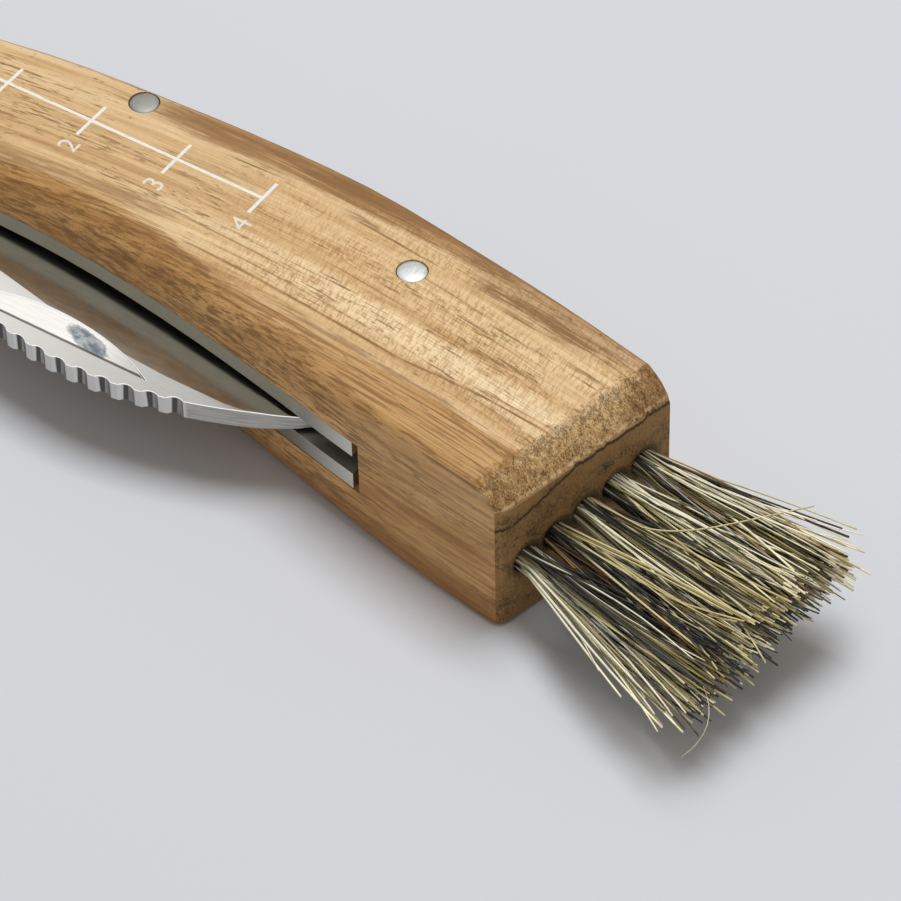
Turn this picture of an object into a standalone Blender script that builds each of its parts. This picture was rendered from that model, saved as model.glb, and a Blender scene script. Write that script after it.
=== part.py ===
"""Folding mushroom knife with a bristle brush, modelled in Blender 4.5.

The knife lies on the flat lower face of its handle, blade folded in.
X runs along the handle towards the brush, Y from the blade's slot to the back,
Z up out of the face that carries the measuring scale.
The origin is on the lower face, under the last mark of that scale.

One-piece wooden handle, forked by a slot; in the slot two steel liners with a
backspring and a sickle blade between them; three pins through all of it; five
bristle tufts, each held in its drilled hole by a wire anchor.
"""
import math

import bmesh
import bpy
import numpy as np
from mathutils import Matrix, Vector

MM = 0.001
WELD = MM / 10000

# Pins: the three stand at equal spacing, the last one measured from the origin
END_PIN_X = 17.3 * MM
PIN_SPACING = 34.6 * MM
PIN_RADIUS = 1.5 * MM
PIN_CHAMFER = 0.15 * MM
PIN_DOME = 0.12 * MM
PIN_FIT = 0.05 * MM
PIVOT_DEPTH = 7.3 * MM
SPRING_PIN_DEPTH = 2.1 * MM
END_PIN_DEPTH = 6.5 * MM

# Handle
HANDLE_THICK = 17.5 * MM
HANDLE_WIDTH = 22.0 * MM
NOSE_REACH = 7.1 * MM
END_WOOD = 25.0 * MM
END_TILT = math.radians(13.2)
END_CHAMFER = 2.9 * MM
END_BELLY_CORNER = 1.1 * MM
END_BACK_CORNER = 0.35 * MM
END_FOOT_CORNER = 0.5 * MM
BACK_ROUND = 1.0 * MM
BELLY_ROUND_WIDE = 3.0 * MM
BELLY_ROUND_HIGH = 5.2 * MM
BELLY_ROUND_END = 0.6 * MM

# Slot and the steel in it, all centred on half the handle's thickness
LINER_THICK = 1.85 * MM
SPRING_THICK = 2.1 * MM
BLADE_THICK = 2.1 * MM
FACE_GAP = 0.1 * MM
SLOT_PAST_PIN = 5.3 * MM
LINER_END_GAP = 0.8 * MM
FLUSH_INSET = 0.05 * MM

# Backspring
SPRING_TAIL_DEPTH = 9.4 * MM
SPRING_WAIST_DEPTH = 4.5 * MM
SPRING_RUN_GAP = 0.15 * MM
SPRING_NOSE_PAST_PIVOT = 0.3 * MM

# Blade
TIP_GAP = 3.1 * MM
BLADE_BOW = 15.6 * MM
TANG_RADIUS = 4.3 * MM
EDGE_THICK = 0.25 * MM
TIP_THICK = 0.7 * MM
SPINE_FLAT_LEAST = 0.3 * MM
NOTCH_COUNT = 14
NOTCH_PITCH = 2.47 * MM
NOTCH_RADIUS = 1.15 * MM
NOTCH_DEPTH = 0.38 * MM
NOTCH_END_X = 5.05 * MM
NICK_LENGTH = 24.0 * MM
NICK_WIDTH = 3.0 * MM
NICK_DEPTH = 0.36 * MM
NICK_FAR_DEPTH = 0.18 * MM
NICK_SPINE_LAND = 2.1 * MM

# Brush
TUFT_COUNT = 5
TUFT_PITCH = 3.7 * MM
TUFT_ROW_SHIFT = 0.24 * MM
TUFT_ROW_DROP = 0.65 * MM
TUFT_ROW_RISE = 0.48 * MM
TUFT_HOLE_RADIUS = 1.45 * MM
TUFT_HOLE_DEPTH = 9.0 * MM
TUFT_FIT = 0.1 * MM
BRISTLE_LENGTH = 22.6 * MM
BRISTLE_RISE = 0.3 * MM
BRISTLE_STRAY = 0.04 * MM
BRISTLE_UNEVEN = 0.8 * MM
TUFT_LEAN = 1.3 * MM
TUFT_LIFT = 0.3 * MM
TUFT_SWAY = 0.6 * MM
TUFT_TIP_HALF_WIDTH = 2.25 * MM
TUFT_TIP_HALF_HEIGHT = 2.9 * MM
ANCHOR_RADIUS = 0.3 * MM
ANCHOR_BED = 1.2 * MM

# One overrun serves every cut
OVERRUN = 2.0 * MM

ROUND_SIDES = 32
BORE_SIDES = 20
ANCHOR_SIDES = 12
CORNER_STEPS = 6
TUFT_SECTORS = 5
TUFT_RINGS = 4
RANDOM_SEED = 7

# Plan of the handle: share of its length from the nose, then the heights of the
# back edge and of the belly edge as shares of its width
HANDLE_PLAN_shares = (
    (0.000, -0.041, -0.664),
    (0.072, 0.052, -0.607),
    (0.190, 0.191, -0.518),
    (0.308, 0.282, -0.466),
    (0.426, 0.318, -0.482),
    (0.544, 0.336, -0.550),
    (0.662, 0.323, -0.650),
    (0.780, 0.250, -0.771),
    (0.898, 0.161, -0.873),
    (1.016, 0.048, -0.948),
)
# Where along the handle the belly's round-over is full, and how it fades
BELLY_ROUND_shares = (
    (0.00, 0.08), (0.03, 0.45), (0.07, 0.85), (0.13, 1.0), (0.50, 1.0), (0.66, 0.70), (0.80, 0.38),
    (0.92, 0.08), (1.03, 0.0),
)
NOSE_RING_shares = (0.004, 0.02, 0.05, 0.10, 0.18, 0.29, 0.42, 0.57, 0.73, 0.87)
BODY_RINGS = 22
# Rings of the brush end: share of the chamfer back from the end face, share of
# the chamfer's drop, share of the corners' inset
END_RING_shares = (
    (1.00, 0.00, 0.00), (0.68, 0.20, 0.00), (0.42, 0.42, 0.00), (0.20, 0.68, 0.12), (0.05, 0.91, 0.50),
    (0.00, 1.00, 1.00),
)

# Blade profile: share of the reach from pivot to tip, then height from the
# pivot as a share of the bow, for the spine, the grind line and the edge
SPINE_shares = (
    (0.00, -0.330), (0.10, -0.410), (0.20, -0.560), (0.31, -0.735), (0.42, -0.880), (0.525, -0.964),
    (0.617, -1.000), (0.70, -0.973), (0.79, -0.878), (0.88, -0.722), (0.94, -0.570), (1.00, -0.330),
)
GRIND_shares = (
    (0.00, -0.260), (0.17, -0.309), (0.31, -0.450), (0.47, -0.592), (0.60, -0.707),
    (0.70, -0.752), (0.80, -0.756), (0.87, -0.735), (0.94, -0.560), (1.00, -0.310),
)
EDGE_shares = (
    (0.00, 0.276), (0.06, 0.262), (0.12, 0.200), (0.22, 0.075), (0.34, -0.051), (0.56, -0.200),
    (0.78, -0.270), (0.90, -0.272), (1.00, -0.240),
)
PLUNGE_START_share = 0.135
PLUNGE_END_share = 0.165
TIP_TAPER_share = 0.88
NICK_MIDDLE_share = 0.56
SPINE_STEP_share = 0.0005
BLADE_STATIONS = 44
TANG_RINGS = 6

# Inner edge of the backspring: share of its run from nose to tail, then share
# of the way from the nose's depth to the waist's and on to the tail's depth
SPRING_WAIST_shares = ((0.0, 0.0), (0.10, 0.25), (0.40, 1.0), (0.72, 1.0), (1.0, 1.0))
SPRING_TAIL_shares = ((0.0, 0.0), (0.66, 0.0), (0.80, 0.45), (0.90, 1.0), (1.0, 1.0))
SPRING_STEPS = 30

# Share of its room at the mouth that each bristle leaves free on every side, and
# its thickness after each half of its length as a share of that before
BRISTLE_INSET_share = 0.17
BRISTLE_TAPER_share = 0.87

COLORS = {
    "wood": (0.43, 0.26, 0.12),
    "liner_steel": (0.55, 0.55, 0.53),
    "blade_steel": (0.62, 0.61, 0.58),
    "pin_steel": (0.68, 0.68, 0.67),
    "bristle": (0.42, 0.37, 0.22),
    "brass": (0.60, 0.45, 0.20),
}
FINISHES = {
    "wood": (0.55, 0.0),
    "liner_steel": (0.35, 1.0),
    "blade_steel": (0.30, 1.0),
    "pin_steel": (0.25, 1.0),
    "bristle": (0.60, 0.0),
    "brass": (0.35, 1.0),
}

# Places worked out from the sizes above
SPRING_PIN_X = END_PIN_X - PIN_SPACING
PIVOT_X = SPRING_PIN_X - PIN_SPACING
NOSE_X = PIVOT_X - NOSE_REACH
END_X = END_PIN_X + END_WOOD
HANDLE_LENGTH = END_X - NOSE_X
SLOT_END_X = END_PIN_X + SLOT_PAST_PIN
LINER_END_X = SLOT_END_X - LINER_END_GAP
TIP_X = SLOT_END_X - TIP_GAP
BLADE_REACH = TIP_X - PIVOT_X
MID_Z = HANDLE_THICK / 2
STEEL_HALF = max(SPRING_THICK, BLADE_THICK) / 2 + FACE_GAP
SLOT_HALF = STEEL_HALF + LINER_THICK + FACE_GAP
BRUSH_AXIS = Vector((math.cos(END_TILT), -math.sin(END_TILT), 0))
BRUSH_ACROSS = Vector((math.sin(END_TILT), math.cos(END_TILT), 0))


def smooth_curve(points, x, column=1):
    """Height at x of a smooth curve through rows of points (Hermite, mean slopes)."""
    xs = [row[0] for row in points]
    ys = [row[column] for row in points]
    i = int(np.clip(np.searchsorted(xs, x) - 1, 0, len(xs) - 2))

    def slope(k):
        low, high = max(k - 1, 0), min(k + 1, len(xs) - 1)
        return (ys[high] - ys[low]) / (xs[high] - xs[low])

    span = xs[i + 1] - xs[i]
    t = (x - xs[i]) / span
    rise = ys[i + 1] - ys[i]
    start, end = slope(i) * span, slope(i + 1) * span
    return ys[i] + t * start + t * t * (3 * rise - 2 * start - end) + t ** 3 * (start + end - 2 * rise)


def handle_share(x):
    return (x - NOSE_X) / HANDLE_LENGTH


def back_y(x):
    return HANDLE_WIDTH * smooth_curve(HANDLE_PLAN_shares, handle_share(x), 1)


def belly_y(x):
    return HANDLE_WIDTH * smooth_curve(HANDLE_PLAN_shares, handle_share(x), 2)


PIVOT = Vector((PIVOT_X, back_y(PIVOT_X) - PIVOT_DEPTH, MID_Z))
SPRING_PIN = Vector((SPRING_PIN_X, back_y(SPRING_PIN_X) - SPRING_PIN_DEPTH, MID_Z))
END_PIN = Vector((END_PIN_X, back_y(END_PIN_X) - END_PIN_DEPTH, MID_Z))


def clear_scene():
    for old in list(bpy.data.objects):
        bpy.data.objects.remove(old, do_unlink=True)


def make_materials():
    made = {}
    for name, color in COLORS.items():
        material = bpy.data.materials.new(name)
        material.use_nodes = True
        shader = material.node_tree.nodes["Principled BSDF"]
        roughness, metallic = FINISHES[name]
        shader.inputs["Base Color"].default_value = (*color, 1.0)
        shader.inputs["Roughness"].default_value = roughness
        shader.inputs["Metallic"].default_value = metallic
        material.diffuse_color = (*color, 1.0)
        made[name] = material
    return made


def add_object(name, bm, material=None, parent=None):
    """Turn a bmesh in world coordinates into a named object, under its parent."""
    mesh = bpy.data.meshes.new(name)
    bmesh.ops.remove_doubles(bm, verts=bm.verts, dist=WELD)
    bmesh.ops.recalc_face_normals(bm, faces=bm.faces)
    bm.to_mesh(mesh)
    bm.free()
    part = bpy.data.objects.new(name, mesh)
    bpy.context.scene.collection.objects.link(part)
    if material:
        mesh.materials.append(material)
        mesh.shade_smooth()
        mesh.set_sharp_from_angle(angle=math.radians(35))
    if parent:
        mesh.transform(Matrix.Translation(-parent.location))
        part.parent = parent
    return part


def cut(part, name, bm, operation="DIFFERENCE"):
    """Cut a part with a bmesh in world coordinates; the cutter stays hidden."""
    tool = add_object(name, bm)
    tool.hide_render = True
    tool.display_type = "WIRE"
    step = part.modifiers.new(name, "BOOLEAN")
    step.operation = operation
    step.solver = "EXACT"
    step.object = tool
    return part


def loft(rings):
    """Closed skin over rings of equal point counts, with flat ends."""
    bm = bmesh.new()
    loops = []
    for ring in rings:
        verts = [bm.verts.new(point) for point in ring]
        loops.append([bm.edges.new((verts[i - 1], verts[i])) for i in range(len(verts))])
    for low, high in zip(loops, loops[1:]):
        bmesh.ops.bridge_loops(bm, edges=low + high)
    bmesh.ops.holes_fill(bm, edges=[edge for edge in bm.edges if edge.is_boundary])
    return bm


def plate(outline, low_z, high_z):
    """Flat plate from a plan outline of (x, y) points."""
    bm = bmesh.new()
    face = bm.faces.new([bm.verts.new((x, y, low_z)) for x, y in outline])
    grown = bmesh.ops.extrude_face_region(bm, geom=[face])
    risen = [item for item in grown["geom"] if isinstance(item, bmesh.types.BMVert)]
    bmesh.ops.translate(bm, verts=risen, vec=(0, 0, high_z - low_z))
    return bm


def turned(profile, centre, axis=Vector((0, 0, 1)), sides=ROUND_SIDES):
    """Solid turned about an axis through centre, from (radius, height) points."""
    bm = bmesh.new()
    verts = [bm.verts.new((radius, 0, height)) for radius, height in profile]
    edges = [bm.edges.new(pair) for pair in zip(verts, verts[1:])]
    bmesh.ops.spin(
        bm, geom=verts + edges, cent=(0, 0, 0), axis=(0, 0, 1),
        angle=math.tau, steps=sides, use_merge=True,
    )
    bmesh.ops.remove_doubles(bm, verts=bm.verts, dist=WELD)
    turn = Vector((0, 0, 1)).rotation_difference(axis).to_matrix().to_4x4()
    bm.transform(Matrix.Translation(centre) @ turn)
    return bm


def rod(radius, start, end, sides=ROUND_SIDES):
    """Plain round bar between two points."""
    run = end - start
    return turned([(0, 0), (radius, 0), (radius, run.length), (0, run.length)], start, run.normalized(), sides)


def joined(meshes):
    """Several bmeshes as one, for a cutter of many tools."""
    whole = bmesh.new()
    for piece in meshes:
        mesh = bpy.data.meshes.new("tool")
        bmesh.ops.recalc_face_normals(piece, faces=piece.faces)
        piece.to_mesh(mesh)
        piece.free()
        whole.from_mesh(mesh)
        bpy.data.meshes.remove(mesh)
    return whole


def pin_holes(reach_low, reach_high, places):
    """Cutter for the pins' holes between two heights."""
    rods = []
    for place in places:
        start = Vector((place.x, place.y, reach_low - OVERRUN))
        end = Vector((place.x, place.y, reach_high + OVERRUN))
        rods.append(rod(PIN_RADIUS + PIN_FIT, start, end))
    return joined(rods)


def tilt_at(x):
    """Angle of the handle's cross-sections: square at the middle, tilted at the brush end."""
    share = max(0.0, (x - SPRING_PIN_X) / (END_X - SPRING_PIN_X))
    return END_TILT * min(share, 1.0)


def edge_reach(edge, centre, across):
    """Distance from the centre line to an edge curve, along a section's direction."""
    reach = edge(centre.x) - centre.y
    for _ in range(8):
        reach = (edge(centre.x + across.x * reach) - centre.y) / across.y
    return reach


def section_at(centre, across):
    """Plan section of the handle: centre, direction across, reach to back and to belly."""
    return centre, across, edge_reach(back_y, centre, across), edge_reach(belly_y, centre, across)


def handle_sections():
    """Plan sections from nose to brush end, drawn together round the nose."""
    sections = []
    nose = [NOSE_X + NOSE_REACH * share for share in NOSE_RING_shares]
    body = np.linspace(NOSE_X + NOSE_REACH, END_X, BODY_RINGS)
    for x in nose + [float(value) for value in body]:
        centre = Vector((x, (back_y(x) + belly_y(x)) / 2))
        across = Vector((math.sin(tilt_at(x)), math.cos(tilt_at(x))))
        _, _, back, belly = section_at(centre, across)
        from_nose = min((x - NOSE_X) / NOSE_REACH, 1.0)
        rounding = math.sqrt(1 - (1 - from_nose) ** 2)
        sections.append((centre, across, back * rounding, belly * rounding))
    return sections


def corner(across, height, wide, high, turn):
    """Quarter ellipse at one corner of a section, in (across, height)."""
    points = []
    for step in range(CORNER_STEPS + 1):
        angle = turn + math.pi / 2 * step / CORNER_STEPS
        points.append((across + wide * math.cos(angle), height + high * math.sin(angle)))
    return points


def section_ring(section, belly_round, back_round, drop, lift, back_in=0.0, belly_in=0.0):
    """Ring of a section: upper face dropped, lower face lifted, edges drawn in."""
    centre, across, back, belly = section
    belly_wide, belly_high = belly_round
    high, low = HANDLE_THICK - drop, lift
    back, belly = back - back_in, belly + belly_in
    outline = corner(back - back_round, high - back_round, back_round, back_round, 0)
    outline += corner(belly + belly_wide, high - belly_high, belly_wide, belly_high, math.pi / 2)
    outline += corner(belly + belly_wide, low + belly_high, belly_wide, belly_high, math.pi)
    outline += corner(back - back_round, low + back_round, back_round, back_round, 3 * math.pi / 2)
    return [(*(centre + across * v), z) for v, z in outline]


def make_handle(material, parent):
    sections = handle_sections()
    rings = []
    for section in sections[:-1]:
        centre, _, back, belly = section
        fade = smooth_curve(BELLY_ROUND_shares, handle_share(centre.x))
        room = (back - belly) / 2
        back_round = min(BACK_ROUND, room / 2)
        wide = min(BELLY_ROUND_END + (BELLY_ROUND_WIDE - BELLY_ROUND_END) * fade, room - back_round)
        high = BELLY_ROUND_END + (BELLY_ROUND_HIGH - BELLY_ROUND_END) * fade
        short = max(BACK_ROUND - (centre.x - NOSE_X), 0)
        soft = BACK_ROUND - math.sqrt(BACK_ROUND ** 2 - short ** 2)
        rings.append(section_ring(section, (wide, high), back_round, soft, soft))
    end_round = (BELLY_ROUND_END, BELLY_ROUND_END)
    face, across = sections[-1][:2]
    for back, drop, inset in END_RING_shares:
        section = section_at(face - BRUSH_AXIS.to_2d() * END_CHAMFER * back, across)
        rings.append(section_ring(
            section, end_round, BACK_ROUND, END_CHAMFER * drop, END_FOOT_CORNER * inset,
            END_BACK_CORNER * inset, END_BELLY_CORNER * inset,
        ))
    handle = add_object("handle_block", loft(rings), material, parent)

    slot = [
        (NOSE_X - OVERRUN, -HANDLE_WIDTH * 2), (SLOT_END_X, -HANDLE_WIDTH * 2),
        (SLOT_END_X, HANDLE_WIDTH * 2), (NOSE_X - OVERRUN, HANDLE_WIDTH * 2),
    ]
    cut(handle, "slot_cutter", plate(slot, MID_Z - SLOT_HALF, MID_Z + SLOT_HALF))
    cut(handle, "handle_pin_cutter", pin_holes(0, HANDLE_THICK, (PIVOT, SPRING_PIN, END_PIN)))
    bores = []
    for mouth, _ in tuft_places():
        start = mouth - BRUSH_AXIS * TUFT_HOLE_DEPTH
        bores.append(rod(TUFT_HOLE_RADIUS, start, mouth + BRUSH_AXIS * OVERRUN, BORE_SIDES))
    cut(handle, "tuft_hole_cutter", joined(bores))
    return handle


def steel_outline():
    """Plan outline of the handle, drawn in a little so that the steel sits flush."""
    back_side, belly_side = [], []
    for centre, across, back, belly in handle_sections():
        back_side.append(centre + across * (back - FLUSH_INSET))
        belly_side.append(centre + across * (belly + FLUSH_INSET))
    return [tuple(point) for point in belly_side + back_side[::-1]]


def make_liner(name, low_z, material, parent):
    bm = plate(steel_outline(), low_z, low_z + LINER_THICK)
    everything = bm.verts[:] + bm.edges[:] + bm.faces[:]
    bmesh.ops.bisect_plane(
        bm, geom=everything, plane_co=(LINER_END_X, 0, 0), plane_no=(1, 0, 0), clear_outer=True,
    )
    bmesh.ops.holes_fill(bm, edges=[edge for edge in bm.edges if edge.is_boundary])
    liner = add_object(name, bm, material, parent)
    return cut(liner, name + "_pin_cutter", pin_holes(low_z, low_z + LINER_THICK, (PIVOT, SPRING_PIN, END_PIN)))


def make_spring(material, parent):
    """Backspring: flush with the back, deep at the tail pin, slim over the tang."""
    nose_x = PIVOT_X + SPRING_NOSE_PAST_PIVOT
    nose_inner = PIVOT.y + TANG_RADIUS + SPRING_RUN_GAP
    nose_depth = back_y(nose_x) - nose_inner
    outer, inner = [], []
    for share in np.linspace(0, 1, SPRING_STEPS):
        x = nose_x + (LINER_END_X - nose_x) * share
        top = back_y(x) - FLUSH_INSET
        waist = smooth_curve(SPRING_WAIST_shares, share)
        tail = smooth_curve(SPRING_TAIL_shares, share)
        depth = nose_depth + (SPRING_WAIST_DEPTH - nose_depth) * waist
        depth += (SPRING_TAIL_DEPTH - SPRING_WAIST_DEPTH) * tail
        outer.append((x, top))
        inner.append((x, back_y(x) - depth))
    half = SPRING_THICK / 2
    spring = add_object("backspring", plate(inner + outer[::-1], MID_Z - half, MID_Z + half), material, parent)
    return cut(spring, "spring_pin_cutter", pin_holes(MID_Z - half, MID_Z + half, (SPRING_PIN, END_PIN)))


def blade_point(points, share):
    """Place on one of the blade's three curves, with the blade folded in."""
    return Vector((PIVOT.x + BLADE_REACH * share, PIVOT.y + BLADE_BOW * smooth_curve(points, share)))


def blade_ring(x, spine, grind, edge, half, edge_half):
    """Cross-section of the blade: spine, grind line and edge on both faces."""
    return [
        (x, spine, MID_Z + half), (x, grind, MID_Z + half), (x, edge, MID_Z + edge_half),
        (x, edge, MID_Z - edge_half), (x, grind, MID_Z - half), (x, spine, MID_Z - half),
    ]


def blade_rings():
    half = BLADE_THICK / 2
    rings = []
    for step in range(1, TANG_RINGS + 1):
        angle = math.pi / 2 * step / TANG_RINGS
        x = PIVOT.x - TANG_RADIUS * math.cos(angle) - SPRING_NOSE_PAST_PIVOT * math.sin(angle)
        rise = TANG_RADIUS * math.sin(angle)
        rings.append(blade_ring(x, PIVOT.y - rise, PIVOT.y - rise / 2, PIVOT.y + rise, half, half))
    for share in np.linspace(0, 1, BLADE_STATIONS):
        spine = blade_point(SPINE_shares, share)
        grind = max(blade_point(GRIND_shares, share).y, spine.y + SPINE_FLAT_LEAST)
        edge = min(blade_point(EDGE_shares, share).y, PIVOT.y + TANG_RADIUS)
        plunge = np.clip((share - PLUNGE_START_share) / (PLUNGE_END_share - PLUNGE_START_share), 0, 1)
        taper = np.clip((share - TIP_TAPER_share) / (1 - TIP_TAPER_share), 0, 1)
        body = half + (TIP_THICK / 2 - half) * taper
        edge_half = body + (EDGE_THICK / 2 - body) * plunge
        rings.append(blade_ring(spine.x, spine.y, grind, edge, body, edge_half))
    return rings


def along_spine(start_share, distance):
    """Share of the reach that lies a distance back along the spine from a start."""
    share, gone = start_share, 0.0
    while gone < distance:
        here, there = blade_point(SPINE_shares, share), blade_point(SPINE_shares, share - SPINE_STEP_share)
        gone += (there - here).length
        share -= SPINE_STEP_share
    return share


def notch_cutter():
    """Round scallops along the spine, each standing out from it by all but its depth."""
    start = (NOTCH_END_X - PIVOT_X) / BLADE_REACH
    rods = []
    for index in range(NOTCH_COUNT):
        share = along_spine(start, NOTCH_PITCH * (index + 1 / 2))
        here, near = blade_point(SPINE_shares, share), blade_point(SPINE_shares, share + SPINE_STEP_share)
        run = (near - here).normalized()
        outward = Vector((run.y, -run.x))
        place = here + outward * (NOTCH_RADIUS - NOTCH_DEPTH)
        low, high = MID_Z - BLADE_THICK, MID_Z + BLADE_THICK
        rods.append(rod(NOTCH_RADIUS, Vector((*place, low)), Vector((*place, high)), BORE_SIDES))
    return joined(rods)


def nick_cutter():
    """Long nail nick: straight and deep beside the spine, fading out on a curve."""
    deepest = blade_point(SPINE_shares, NICK_MIDDLE_share)
    base_y = deepest.y + NICK_SPINE_LAND
    radius = (NICK_LENGTH ** 2 / 4 + NICK_WIDTH ** 2) / (2 * NICK_WIDTH)
    half_angle = math.asin(NICK_LENGTH / 2 / radius)
    outline = []
    for step in range(25):
        angle = half_angle * (1 - step / 12)
        outline.append((
            deepest.x + radius * math.sin(angle),
            base_y + NICK_WIDTH - radius * (1 - math.cos(angle)),
        ))
    face_z = MID_Z + BLADE_THICK / 2
    bm = plate(outline, face_z - NICK_DEPTH, face_z + OVERRUN)
    for vert in bm.verts:
        if vert.co.z < face_z:
            vert.co.z += (NICK_DEPTH - NICK_FAR_DEPTH) * (vert.co.y - base_y) / NICK_WIDTH
    return bm


def make_blade(material, parent):
    blade = add_object("blade", loft(blade_rings()), material, parent)
    cut(blade, "notch_cutter", notch_cutter())
    cut(blade, "nick_cutter", nick_cutter())
    half = BLADE_THICK / 2
    return cut(blade, "pivot_hole_cutter", pin_holes(MID_Z - half, MID_Z + half, (PIVOT,)))


def make_pin(name, place, material, parent):
    """Steel pin, chamfered and flush below, slightly domed above."""
    top = HANDLE_THICK
    profile = [
        (0, 0), (PIN_RADIUS - PIN_CHAMFER, 0), (PIN_RADIUS, PIN_CHAMFER), (PIN_RADIUS, top - PIN_CHAMFER),
    ]
    for step in range(1, 5):
        share = step / 4
        profile.append((
            PIN_RADIUS * math.cos(share * math.pi / 2),
            top - PIN_CHAMFER + (PIN_CHAMFER + PIN_DOME) * math.sin(share * math.pi / 2),
        ))
    profile[-1] = (0, top + PIN_DOME)
    return add_object(name, turned(profile, Vector((place.x, place.y, 0))), material, parent)


def tuft_places():
    """Mouth of each hole on the end face, and its place across the row from the middle."""
    centre, across, back, belly = handle_sections()[-1]
    middle = centre + across * ((back + belly) / 2 - TUFT_ROW_SHIFT)
    places = []
    for index in range(TUFT_COUNT):
        rank = index - (TUFT_COUNT - 1) / 2
        mouth = Vector((*middle, MID_Z - TUFT_ROW_DROP + TUFT_ROW_RISE * rank))
        places.append((mouth + BRUSH_ACROSS * TUFT_PITCH * rank, rank))
    return places


def tuft_disc(bm, mouth, radius):
    """Mouth of a tuft as a disc of triangles, ring by ring, one for each bristle."""
    rings = []
    for ring in range(TUFT_RINGS + 1):
        count = max(1, TUFT_SECTORS * ring)
        verts = []
        for index in range(count):
            angle = math.tau * index / count
            reach = radius * ring / TUFT_RINGS
            place = mouth + BRUSH_ACROSS * reach * math.cos(angle) + Vector((0, 0, reach * math.sin(angle)))
            verts.append(bm.verts.new(place))
        rings.append(verts)
    faces = []
    for ring in range(1, TUFT_RINGS + 1):
        outer, inner = rings[ring], rings[ring - 1]
        for sector in range(TUFT_SECTORS):
            for step in range(ring):
                a = outer[(sector * ring + step) % len(outer)]
                b = outer[(sector * ring + step + 1) % len(outer)]
                c = inner[(sector * (ring - 1) + step) % len(inner)]
                faces.append(bm.faces.new((a, b, c)))
                if step < ring - 1:
                    d = inner[(sector * (ring - 1) + step + 1) % len(inner)]
                    faces.append(bm.faces.new((b, d, c)))
    return faces, rings[-1]


def bristle_place(mouth, rank, point, share, drift):
    """Where a root point of a tuft has gone at a share of the bristle's length."""
    out = point - mouth
    across, up = out.dot(BRUSH_ACROSS), out.z
    radius = TUFT_HOLE_RADIUS - TUFT_FIT
    reach = (BRISTLE_LENGTH + drift.z * BRISTLE_UNEVEN) * share
    share = reach / BRISTLE_LENGTH
    spread_across = 1 + (TUFT_TIP_HALF_WIDTH / radius - 1) * share
    spread_up = 1 + (TUFT_TIP_HALF_HEIGHT / radius - 1) * share
    side = across * spread_across + (rank * TUFT_LEAN + TUFT_SWAY + drift.x * BRISTLE_STRAY) * share
    rise = up * spread_up + (rank * TUFT_LIFT + drift.y * BRISTLE_STRAY) * share + BRISTLE_RISE * share ** 2
    return mouth + BRUSH_AXIS * reach + BRUSH_ACROSS * side + Vector((0, 0, rise))


def make_tuft(index, mouth, rank, material, parent, rng):
    """Bristle tuft: a bundle that fills its hole and fans out of it, doubled over its anchor."""
    bm = bmesh.new()
    radius = TUFT_HOLE_RADIUS - TUFT_FIT
    faces, rim = tuft_disc(bm, mouth, radius)
    foot = []
    for vert in rim:
        foot.append(bm.verts.new(vert.co - BRUSH_AXIS * (TUFT_HOLE_DEPTH - TUFT_FIT)))
    for i in range(len(rim)):
        bm.faces.new((rim[i - 1], rim[i], foot[i], foot[i - 1]))
    bm.faces.new(foot)
    bm.normal_update()
    bmesh.ops.inset_individual(bm, faces=faces, thickness=radius / TUFT_RINGS * BRISTLE_INSET_share)
    for face in faces:
        root = face.calc_center_median()
        drift = Vector(rng.uniform(-1, 1, 3))
        for share in (0.5, 1.0):
            face = bmesh.ops.extrude_discrete_faces(bm, faces=[face])["faces"][0]
            middle = face.calc_center_median()
            place = bristle_place(mouth, rank, root, share, drift)
            for vert in face.verts:
                vert.co = place + (vert.co - middle) * BRISTLE_TAPER_share
    tuft = add_object("bristle_tuft_%d" % index, bm, material, parent)
    loop = anchor_rod(mouth, ANCHOR_RADIUS + TUFT_FIT, radius + OVERRUN)
    return cut(tuft, "tuft_loop_cutter_%d" % index, loop)


def anchor_rod(mouth, radius, half_length):
    """Round bar across a hole near its foot, where the tuft is doubled over its anchor."""
    bed = mouth - BRUSH_AXIS * (TUFT_HOLE_DEPTH - ANCHOR_BED)
    return rod(radius, bed - BRUSH_ACROSS * half_length, bed + BRUSH_ACROSS * half_length, ANCHOR_SIDES)


def make_anchor(index, mouth, material, parent):
    """Short brass wire across the hole, over which the tuft is doubled."""
    wire = anchor_rod(mouth, ANCHOR_RADIUS, TUFT_HOLE_RADIUS - TUFT_FIT)
    return add_object("tuft_anchor_%d" % index, wire, material, parent)


def main():
    clear_scene()
    materials = make_materials()
    frame = bpy.data.objects.new("knife", None)
    pivot = bpy.data.objects.new("blade_pivot", None)
    for empty in (frame, pivot):
        bpy.context.scene.collection.objects.link(empty)
    pivot.location = PIVOT
    pivot.parent = frame
    bpy.context.view_layer.update()

    make_handle(materials["wood"], frame)
    make_liner("liner_lower", MID_Z - STEEL_HALF - LINER_THICK, materials["liner_steel"], frame)
    make_liner("liner_upper", MID_Z + STEEL_HALF, materials["liner_steel"], frame)
    make_spring(materials["liner_steel"], frame)
    make_blade(materials["blade_steel"], pivot)
    make_pin("pivot_pin", PIVOT, materials["pin_steel"], frame)
    make_pin("spring_pin", SPRING_PIN, materials["pin_steel"], frame)
    make_pin("end_pin", END_PIN, materials["pin_steel"], frame)
    rng = np.random.default_rng(RANDOM_SEED)
    for index, (mouth, rank) in enumerate(tuft_places(), start=1):
        make_tuft(index, mouth, rank, materials["bristle"], frame, rng)
        make_anchor(index, mouth, materials["brass"], frame)


main()
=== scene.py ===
"""Looks of a folding mushroom knife: wood, steel, printed scale, bristle brush and studio."""

import math
import random

import bmesh
import bpy
from bpy.props import FloatProperty, FloatVectorProperty, IntProperty, PointerProperty
from mathutils import Matrix, Vector, geometry


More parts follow.
